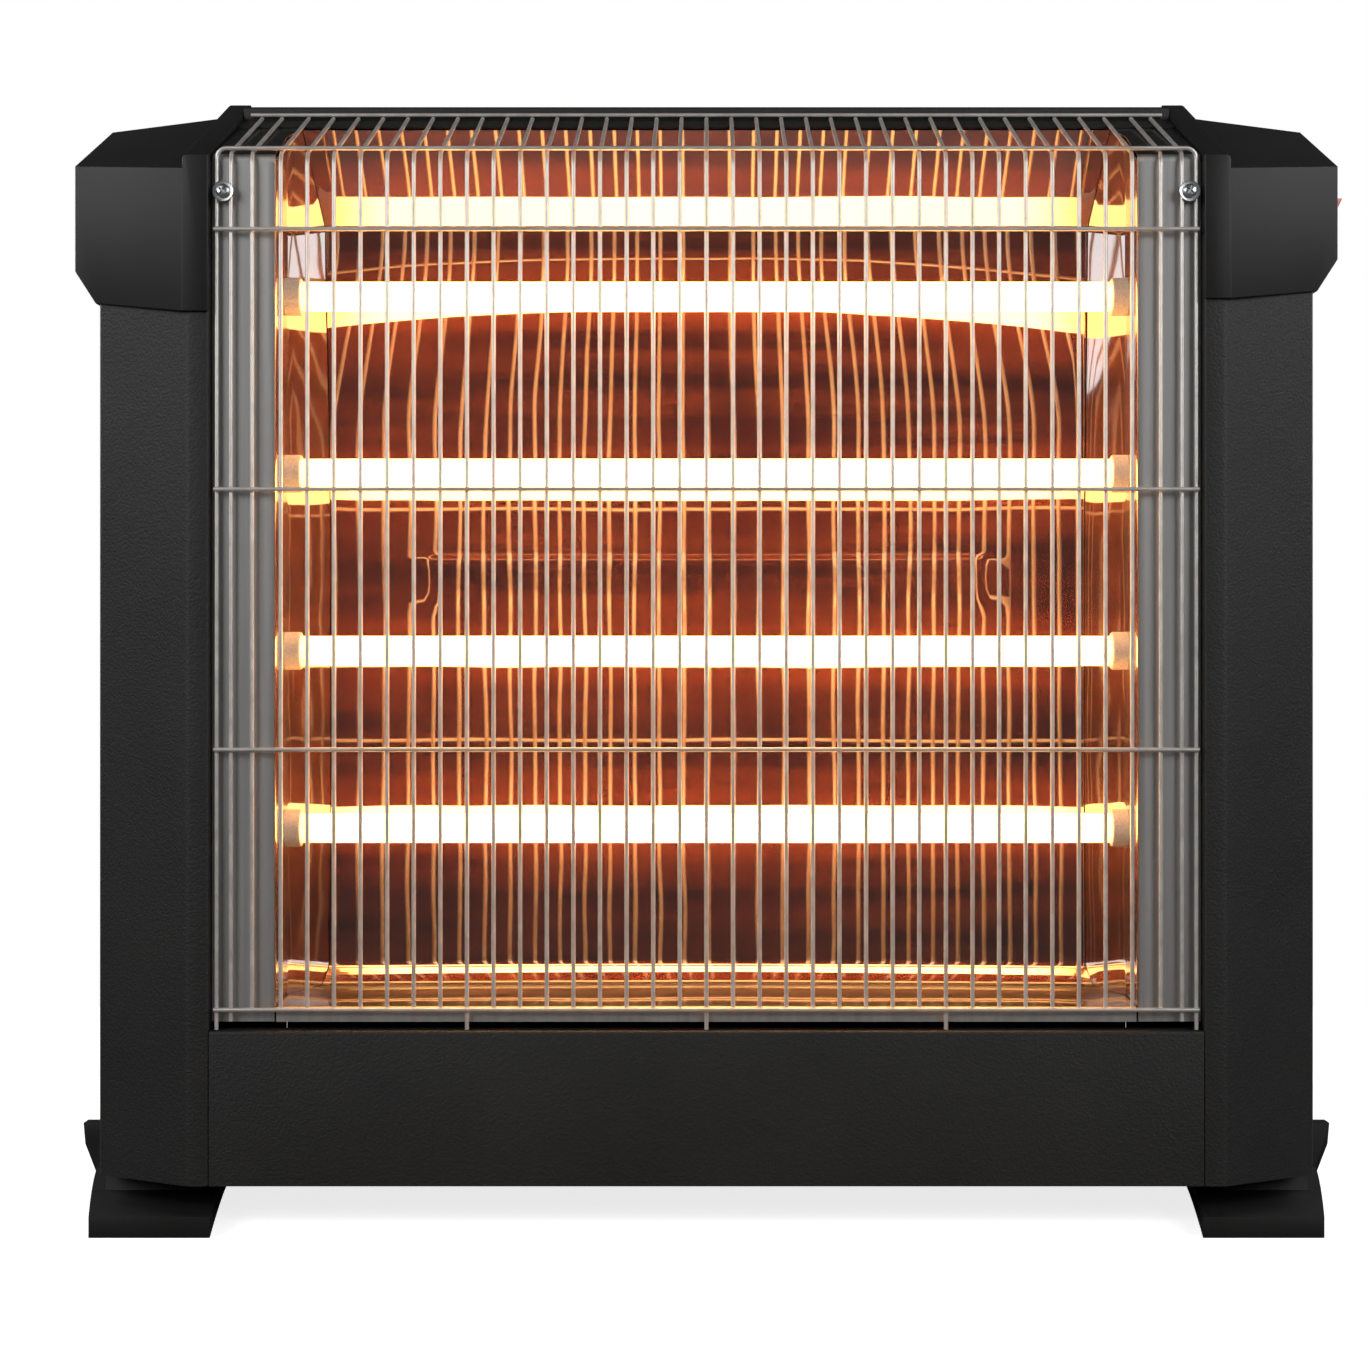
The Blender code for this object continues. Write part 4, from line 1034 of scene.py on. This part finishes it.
def make_roof_flap(face, side):
    """The strip over a side sheet, bent back from its flange along the guard's sloping top."""
    settings = bpy.context.scene.heater_reflectors
    outer_x = OPENING_HALF_WIDTH - 2 * FIT_GAP
    flap = trace("roof_flap", [(side * outer_x, face * y, z) for y, z, _ in FLAP_CORNERS])
    run = (side * (CHAMBER_HALF_WIDTH - outer_x), 0, 0)
    bend = lambda edge: lies_at(edge, 1, face * FLANGE_Y) and lies_at(edge, 2, FLAP_BEND_Z)
    with editing(flap):
        bpy.ops.mesh.extrude_edges_move(TRANSFORM_OT_translate={"value": run})
        for y, z, inner_x in FLAP_CORNERS:
            corner = Vector((side * CHAMBER_HALF_WIDTH, face * y, z))
            choose(flap, "VERT", lambda vertex: (vertex.co - corner).length < FIT_GAP)
            bpy.ops.transform.translate(value=(side * (inner_x - CHAMBER_HALF_WIDTH), 0, 0))
        choose(flap, "EDGE", bend)
        bpy.ops.mesh.bevel(offset=FLAP_BEND_RADIUS, segments=6, profile=0.5)
        bpy.ops.mesh.select_all(action="SELECT")
        bpy.ops.mesh.normals_make_consistent(inside=False)
        if sum(polygon.normal.z for polygon in bmesh.from_edit_mesh(flap.data).faces) < 0:
            bpy.ops.mesh.flip_normals()
    thicken(flap, settings.thickness)
    return flap


def make_side_sheet(face_name, face, side_name, side):
    """The flange beside the guard, the wall that closes the chamber's end, and their flap."""
    settings = bpy.context.scene.heater_reflectors
    corners = ((OPENING_HALF_WIDTH - FIT_GAP, FLANGE_Y), *WALL_CORNERS)
    path = [(side * x, face * y, REFLECTOR_LIP_LOW) for x, y in corners]
    inside = (0, face * 2 * FLANGE_Y, BEAD_Z)
    name = f"{face_name}_{side_name}_wall_sheet"
    sheet = fold(name, path, (0, 0, WALL_BLANK_HEIGHT), WALL_FOLD_RADIUS, inside)
    turn_over(sheet)
    divide(sheet, 2, WALL_ROWS - 1)
    for _ in range(2):
        with editing(sheet):
            is_long = lambda edge: not along(edge, 2) and edge.calc_length() > WALL_CELL
            choose(sheet, "EDGE", is_long)
            bpy.ops.mesh.subdivide(number_cuts=2)
    ripple(sheet, settings.wave_height, settings.wave_length / 2)
    end_y, end_z, _ = FLAP_CORNERS[-1]
    slope = (end_z - SHEET - FLANGE_TOP) / (FLANGE_Y - end_y)
    slice_off(sheet, (0, face * FLANGE_Y, FLANGE_TOP), (0, face * slope, 1), fill=False)
    thicken(sheet, settings.thickness)
    sheet = weld_together(name, [sheet, make_roof_flap(face, side)])
    node = f"{face_name}_{side_name}_side_sheet"
    fit_out(sheet, node, aluminised_sheet(), least_corner=60)
    reach = WALL_KNEE_X + SHEET
    in_chamber = lambda polygon: abs(polygon.calc_center_median().x) < reach
    wall = lambda polygon: in_chamber(polygon) and abs(polygon.normal.x) > 0.5
    # Painted glow: the chamber's end walls take the red brown sheet colour.
    assign_look(sheet, bright_rolled_steel(), wall)
    roof = lambda polygon: polygon.calc_center_median().z > FLAP_BEND_Z and polygon.normal.z > 0.5
    # Painted shade: the roof flaps take the dark grey sheet colour.
    assign_look(sheet, painted_shade_rolled_steel(), roof)


def make_wire(name, path, radius, bend_radius=0.0, sides=10):
    """A round wire along a bent line."""
    line = trace(name, path)
    if bend_radius:
        inner = [Vector(point) for point in path[1:-1]]
        is_bend = lambda vertex: any((vertex.co - place).length < 10 * SAME_PLACE for place in inner)
        with editing(line):
            choose(line, "VERT", is_bend)
            bpy.ops.mesh.bevel(offset=bend_radius, segments=5, affect="VERTICES")
    pick(line)
    bpy.ops.object.convert(target="CURVE")
    line.data.bevel_depth = radius
    line.data.bevel_resolution = (sides - 4) // 2
    line.data.use_fill_caps = True
    bpy.ops.object.convert(target="MESH")
    return bpy.context.object


def make_guard(face_name, face):
    """The wire guard: uprights that bend back over the top, cross wires and a frame wire."""
    settings = bpy.context.scene.heater_guards
    radius = settings.wire_diameter / 2
    half = [FIELD_PITCH * number for number in range(FIELD_WIRES_PER_SIDE + 1)]
    half += [THIRD_WIRE_X, SECOND_WIRE_X]
    wires = []
    for x in sorted(half + [-x for x in half if x > 0]):
        low = CROSS_WIRE_HEIGHTS[0] - radius
        if any(abs(abs(x) - tail) < SHEET for tail in TAIL_WIRE_X):
            low = TAIL_LOW
        if abs(x) == SECOND_WIRE_X:
            low = SHORT_TAIL_LOW
        path = [(x, face * y, z) for y, z in ((UPRIGHT_Y, low), *UPRIGHT_BENDS)]
        wires.append(make_wire(f"upright_{len(wires)}", path, radius, settings.bend_radius / 3))
    corner_y, corner_z = CORNER_WIRE
    frame_path = [
        (-EDGE_WIRE_X, face * UPRIGHT_Y, TAIL_LOW),
        (-EDGE_WIRE_X, face * corner_y, corner_z),
        (EDGE_WIRE_X, face * corner_y, corner_z),
        (EDGE_WIRE_X, face * UPRIGHT_Y, TAIL_LOW),
    ]
    wires.append(make_wire("frame_wire", frame_path, radius, settings.bend_radius))
    level_wires = [(EDGE_WIRE_X + radius, CROSS_WIRE_Y, z) for z in CROSS_WIRE_HEIGHTS]
    for reach, y, z in (*level_wires, (END_WIRE_HALF, *END_WIRE)):
        ends = [(-reach, face * y, z), (reach, face * y, z)]
        wires.append(make_wire(f"level_wire_{len(wires)}", ends, radius))
    guard = weld_together(f"{face_name}_guard_wires", wires)
    fit_out(guard, f"{face_name}_grille", satin_chrome(), least_corner=50)


def make_guard_screw(face_name, face, side_name, side):
    """A pan head screw with a cross recess, on its washer."""
    place = (side * SCREW_X, 0, SCREW_Z)
    name = f"{face_name}_{side_name}_pan_screw"
    screw = lathe(name, SCREW_PROFILE, place, (0, face, 0), 28)
    for turn in RECESS_TURNS:
        bpy.ops.mesh.primitive_cube_add(
            size=1,
            location=(side * SCREW_X, face * SCREW_PROFILE[-1][0], SCREW_Z),
            rotation=(0, math.radians(turn), 0),
            scale=RECESS_SIZE,
        )
        merge_in(screw, "DIFFERENCE", settle("recess"))
    close_up(screw, 10 * SAME_PLACE)
    node = f"{face_name}_{side_name}_grille_screw"
    fit_out(screw, node, zinc_plate())


def make_tube(face_name, face, row, height):
    """A quartz pipe, rounded by flame at both mouths."""
    outer = bpy.context.scene.heater_tubes.tube_radius
    half = [
        (TUBE_HALF_LENGTH - TUBE_LIP, outer),
        (TUBE_HALF_LENGTH, outer - TUBE_LIP),
        (TUBE_HALF_LENGTH, TUBE_BORE + TUBE_LIP),
        (TUBE_HALF_LENGTH - TUBE_LIP, TUBE_BORE),
    ]
    profile = half + [(-x, r) for x, r in reversed(half)] + [half[0]]
    place = (0, face * TUBE_Y, height)
    tube = lathe(f"{face_name}_quartz_pipe_{row}", profile, place, (1, 0, 0))
    fit_out(tube, f"{face_name}_tube_{row}", glowing_quartz())
    axis = Vector((face * TUBE_Y, height))
    reach = TUBE_BORE + TUBE_LIP
    bore = lambda polygon: (polygon.calc_center_median().yz - axis).length < reach
    assign_look(tube, quartz_bore(), bore)


def make_ceramic(face_name, face, side_name, side, row, height):
    """A pressed ceramic end with a socket for the tube and a bore for its pin."""
    socket = bpy.context.scene.heater_tubes.tube_radius + FIT_GAP
    profile = (
        (0, socket),
        (0, CERAMIC_RADIUS - CERAMIC_EDGE),
        (CERAMIC_EDGE / 3, CERAMIC_RADIUS - CERAMIC_EDGE / 3),
        (CERAMIC_EDGE, CERAMIC_RADIUS),
        (CERAMIC_LENGTH - CERAMIC_EDGE, CERAMIC_RADIUS),
        (CERAMIC_LENGTH, CERAMIC_RADIUS - CERAMIC_EDGE),
        (CERAMIC_LENGTH, PIN_BORE),
        (SOCKET_DEPTH, PIN_BORE),
        (SOCKET_DEPTH, socket),
        (0, socket),
    )
    place = (side * CERAMIC_START, face * TUBE_Y, height)
    name = f"{face_name}_{side_name}_end_insulator_{row}"
    end = lathe(name, profile, place, (side, 0, 0))
    fit_out(end, f"{face_name}_{side_name}_ceramic_{row}", steatite())


def make_switch(number, place):
    """A snap-in switch housing, with a rocker that tips in its well."""
    back = CAP_OUTER + FIT_GAP
    front = back + BEZEL_THICKNESS
    middles = (place, SWITCH_Z)
    bezel = [around(middle, half) for middle, half in zip(middles, BEZEL_HALF)]
    housing = block(f"switch_housing_{number}", (back - SWITCH_LENGTH, front), *bezel)
    for turn in (-1, 1):
        for axis in (0, 1):
            waste = [around(middle, half + SHEET) for middle, half in zip(middles, BEZEL_HALF)]
            reach = (BODY_HALF[axis], BEZEL_HALF[axis] + SHEET)
            waste[axis] = tuple(sorted(middles[axis] + turn * half for half in reach))
            tool = block("waste", (back - SWITCH_LENGTH - SHEET, back), *waste)
            merge_in(housing, "DIFFERENCE", tool)
    round_edges(housing, SWITCH_EDGE, segments=2)
    well = [around(middle, half) for middle, half in zip(middles, WELL_HALF)]
    merge_in(housing, "DIFFERENCE", block("well", (WELL_FLOOR_X, front + SHEET), *well))
    fit_out(housing, f"switch_body_{number}", moulded_abs())
    rises = [ROCKER_HALF_LENGTH * step / 5 for step in range(-5, 6)]
    dish = [ROCKER_DISH * math.cos(0.5 * math.pi * z / ROCKER_HALF_LENGTH) for z in rises]
    crown = [(ROCKER_CROWN - depth, z) for depth, z in zip(dish, rises)]
    cosine = math.cos(ROCKER_TILT)
    sine = math.sin(ROCKER_TILT)
    near = place - ROCKER_HALF_WIDTH
    tipped = [
        (ROCKER_AXIS_X + x * cosine + z * sine, near, SWITCH_Z - x * sine + z * cosine)
        for x, z in (*crown, *ROCKER_BELLY)
    ]
    rocker = slab(f"rocker_key_{number}", tipped, (0, 2 * ROCKER_HALF_WIDTH, 0))
    round_edges(rocker, SWITCH_EDGE, least_turn=30)
    node = f"rocker_{number}"
    fit_out(rocker, node, red_polycarbonate(), node)


def make_cord_gland():
    """The bush that guides the cord out of the column, with a rounded collar."""
    direction = (math.cos(GLAND_ANGLE), math.sin(GLAND_ANGLE), 0)
    gland = lathe("cord_bush", GLAND_PROFILE, GLAND_PLACE, direction)
    fit_out(gland, "cord_gland", moulded_abs())


def dress_inner_pieces():
    """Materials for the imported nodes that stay: the base pan and what the columns hide."""
    looks = {
        "bottom_plate": zinc_plate,
        "front_heating_coils": glowing_wire,
        "rear_heating_coils": glowing_wire,
        "terminal_block": natural_nylon,
        "tip_over_switch": moulded_abs,
        "wiring_loom": silicone_sleeve,
    }
    for node, look in looks.items():
        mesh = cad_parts[node].data
        mesh.materials.clear()
        mesh.materials.append(look())


# Stage


def make_floor():
    """A pale disc under the heater that fades into the white room for the camera."""
    radius = bpy.context.scene.heater_stage.floor_radius
    bpy.ops.mesh.primitive_circle_add(vertices=96, radius=radius, fill_type="NGON")
    floor = settle("studio_floor")
    floor.data.materials.append(studio_floor_paint())


def light_room():
    """A white room for the camera, which is dim for everything else, and soft lamps."""
    settings = bpy.context.scene.heater_stage
    world = bpy.data.worlds.new("studio_room")
    bpy.context.scene.world = world
    world.use_nodes = True
    tree = world.node_tree
    tree.nodes.clear()
    path = add_node(tree, "ShaderNodeLightPath")
    glossy = (path, "Is Glossy Ray")
    dim = add_range(tree, glossy, settings.room_level, settings.mirrored_room_level)
    links = {"Value": (path, "Is Camera Ray"), "To Min": dim}
    level = add_node(tree, "ShaderNodeMapRange", {"To Max": 1.0}, links, "Result")
    white = {"Color": linear("#ffffff")}
    room = add_node(tree, "ShaderNodeBackground", white, {"Strength": level}, "Background")
    add_node(tree, "ShaderNodeOutputWorld", links={"Surface": room})
    for side_name, side in SIDES.items():
        for part, ((x, y, z), share) in LAMPS.items():
            place = Vector((side * x, y, z))
            bpy.ops.object.light_add(type="AREA", location=place)
            lamp = bpy.context.object
            lamp.name = f"{part}_{side_name}_lamp"
            lamp.data.name = lamp.name
            lamp.data.size = LAMP_SIZE
            lamp.data.energy = settings.lamp_power * share
            to_heater = Vector((0, 0, settings.camera_height)) - place
            lamp.rotation_euler = to_heater.to_track_quat("-Z", "Y").to_euler()


def place_camera():
    """A level camera straight in front, which sees the heater a little right of the middle."""
    settings = bpy.context.scene.heater_stage
    place = (0, -settings.camera_distance, settings.camera_height)
    bpy.ops.object.camera_add(location=place, rotation=(math.pi / 2, 0, 0))
    camera = bpy.context.object
    camera.name = "photo_camera"
    camera.data.sensor_width = SENSOR_WIDTH
    camera.data.lens = settings.lens
    camera.data.shift_x = settings.shift
    bpy.context.scene.camera = camera
    bpy.context.scene.view_settings.view_transform = "Standard"


# Settings that a user would change


def number(name, description, default, **kind):
    """A number in the panel, with its unit or subtype."""
    return bpy.props.FloatProperty(name=name, description=description, default=default, **kind)


def length(name, description, default):
    """A length in the panel."""
    return number(name, description, default, unit="LENGTH")


class ShellSettings(bpy.types.PropertyGroup):
    """Black sheet metal and mouldings."""

    fold_radius: length("Fold radius", "Outer radius of the folds in the coated sheets", 0.0014)
    moulding_radius: length("Moulding radius", "Radius of the edges of the caps", 0.0012)
    coat_grain: length("Coat grain", "Size of the pebbles in the powder coat", 0.0012)


class GuardSettings(bpy.types.PropertyGroup):
    """Wire guards."""

    wire_diameter: length("Wire diameter", "Diameter of every wire of the guards", 0.0020)
    bend_radius: length("Bend radius", "Radius of the frame wire's upper corners", 0.0045)


class ReflectorSettings(bpy.types.PropertyGroup):
    """Bright sheets round the tubes."""

    thickness: length("Thickness", "Thickness of the bright sheets", 0.0006)
    bow: length("Bow", "How far the middle of a reflector lies behind its ends", 0.0095)
    bead_height: length("Bead height", "Height of the stamped bead across a reflector", 0.0008)
    fold_radius: length("Fold radius", "Size of the rounded folds in the reflectors", 0.0022)
    wave_height: length("Wave height", "Depth of the waves in the bright sheets", 0.0004)
    wave_length: length("Wave length", "Size of the waves in the bright sheets", 0.080)


class TubeSettings(bpy.types.PropertyGroup):
    """Quartz tubes."""

    tube_radius: length("Tube radius", "Outer radius of the quartz tubes", 0.007)
    glow_strength: number("Glow strength", "Brightness of the tubes", 18.0)


class StageSettings(bpy.types.PropertyGroup):
    """Camera, lamps and floor."""

    camera_distance: length("Camera distance", "Distance from the heater's middle", 1.302)
    camera_height: length("Camera height", "Height of the camera above the floor", 0.251)
    lens: number("Lens", "Focal length on a 36 mm wide sensor", 68.08, subtype="DISTANCE_CAMERA")
    shift: number("Shift", "Sideways shift of the picture, as a share of its width", -0.0164)
    room_level: number("Room level", "Brightness of the room for all but the camera", 0.05)
    mirrored_room_level: number(
        "Mirrored room level", "Brightness of the room as shiny surfaces mirror it", 0.04
    )
    lamp_power: number(
        "Lamps", "Power of a front lamp, which the others take a share of", 13.0, unit="POWER"
    )
    floor_radius: length("Floor radius", "Radius of the floor's disc", 0.85)
    floor_bounce: number("Floor bounce", "Share of light that the floor throws back", 0.15)
    floor_glow: number("Floor glow", "How much the floor is whitened for the camera", 0.8)


# Operators


class AddFeet(bpy.types.Operator):
    """Model both bowed feet"""

    bl_idname = "heater.add_feet"
    bl_label = "Feet"

    def execute(self, context):
        for side in SIDES.items():
            make_foot(*side)
        return {"FINISHED"}


class AddColumns(bpy.types.Operator):
    """Model both folded column covers"""

    bl_idname = "heater.add_columns"
    bl_label = "Column covers"

    def execute(self, context):
        for side in SIDES.items():
            make_column(*side)
        return {"FINISHED"}


class AddCaps(bpy.types.Operator):
    """Model the moulded caps of both columns"""

    bl_idname = "heater.add_caps"
    bl_label = "Caps"

    def execute(self, context):
        for side in SIDES.items():
            make_cap(*side)
        return {"FINISHED"}


class AddPanels(bpy.types.Operator):
    """Model the lower panels and the ridge bar"""

    bl_idname = "heater.add_panels"
    bl_label = "Panels and ridge bar"

    def execute(self, context):
        for face in FACES.items():
            make_lower_panel(*face)
        make_top_bar()
        return {"FINISHED"}


class AddReflectors(bpy.types.Operator):
    """Model the bright sheets round the tubes"""

    bl_idname = "heater.add_reflectors"
    bl_label = "Reflectors and side sheets"

    def execute(self, context):
        for face in FACES.items():
            make_reflector(*face)
            for side in SIDES.items():
                make_side_sheet(*face, *side)
        return {"FINISHED"}


class AddGuards(bpy.types.Operator):
    """Model both wire guards and their screws"""

    bl_idname = "heater.add_guards"
    bl_label = "Guards and screws"

    def execute(self, context):
        for face in FACES.items():
            make_guard(*face)
            for side in SIDES.items():
                make_guard_screw(*face, *side)
        return {"FINISHED"}


class AddTubes(bpy.types.Operator):
    """Model the quartz tubes and their ceramic ends"""

    bl_idname = "heater.add_tubes"
    bl_label = "Tubes and ceramics"

    def execute(self, context):
        for face in FACES.items():
            for row, height in enumerate(TUBE_HEIGHTS, start=1):
                make_tube(*face, row, height)
                for side in SIDES.items():
                    make_ceramic(*face, *side, row, height)
        return {"FINISHED"}


class AddSwitches(bpy.types.Operator):
    """Model the four rocker switches of the right cap"""

    bl_idname = "heater.add_switches"
    bl_label = "Switches"

    def execute(self, context):
        for number, place in enumerate(SWITCH_PLACES, start=1):
            make_switch(number, place)
        return {"FINISHED"}


class AddCordGland(bpy.types.Operator):
    """Model the bush that the cord comes out of"""

    bl_idname = "heater.add_cord_gland"
    bl_label = "Cord gland"

    def execute(self, context):
        make_cord_gland()
        return {"FINISHED"}


class DressInnerPieces(bpy.types.Operator):
    """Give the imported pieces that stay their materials"""

    bl_idname = "heater.dress_inner_pieces"
    bl_label = "Inner pieces"

    def execute(self, context):
        dress_inner_pieces()
        return {"FINISHED"}


class SetStage(bpy.types.Operator):
    """Set up the floor, the lamps and the camera"""

    bl_idname = "heater.set_stage"
    bl_label = "Stage"

    def execute(self, context):
        make_floor()
        light_room()
        place_camera()
        return {"FINISHED"}


SETTINGS = {
    "heater_shell": ShellSettings,
    "heater_guards": GuardSettings,
    "heater_reflectors": ReflectorSettings,
    "heater_tubes": TubeSettings,
    "heater_stage": StageSettings,
}
STEPS = (
    AddFeet, AddColumns, AddCaps, AddPanels, AddReflectors, AddGuards, AddTubes, AddSwitches,
    AddCordGland, DressInnerPieces, SetStage,
)


class HeaterPanel(bpy.types.Panel):
    """Lists the heater's pieces and their settings"""

    bl_idname = "VIEW3D_PT_heater"
    bl_label = "Quartz heater"
    bl_space_type = "VIEW_3D"
    bl_region_type = "UI"
    bl_category = "Heater"

    def draw(self, context):
        column = self.layout.column()
        for step in STEPS:
            column.operator(step.bl_idname)
        for name, group in SETTINGS.items():
            box = self.layout.box()
            for key in group.__annotations__:
                box.prop(getattr(context.scene, name), key)


def register():
    for item in (*SETTINGS.values(), *STEPS, HeaterPanel):
        bpy.utils.register_class(item)
    for name, group in SETTINGS.items():
        setattr(bpy.types.Scene, name, bpy.props.PointerProperty(type=group))


def unregister():
    for name in SETTINGS:
        delattr(bpy.types.Scene, name)
    for item in (HeaterPanel, *reversed(STEPS), *reversed(SETTINGS.values())):
        bpy.utils.unregister_class(item)


def main():
    register()
    for step in STEPS:
        name = step.bl_idname.split(".")[1]
        getattr(bpy.ops.heater, name)()


if __name__ == "__main__":
    main()
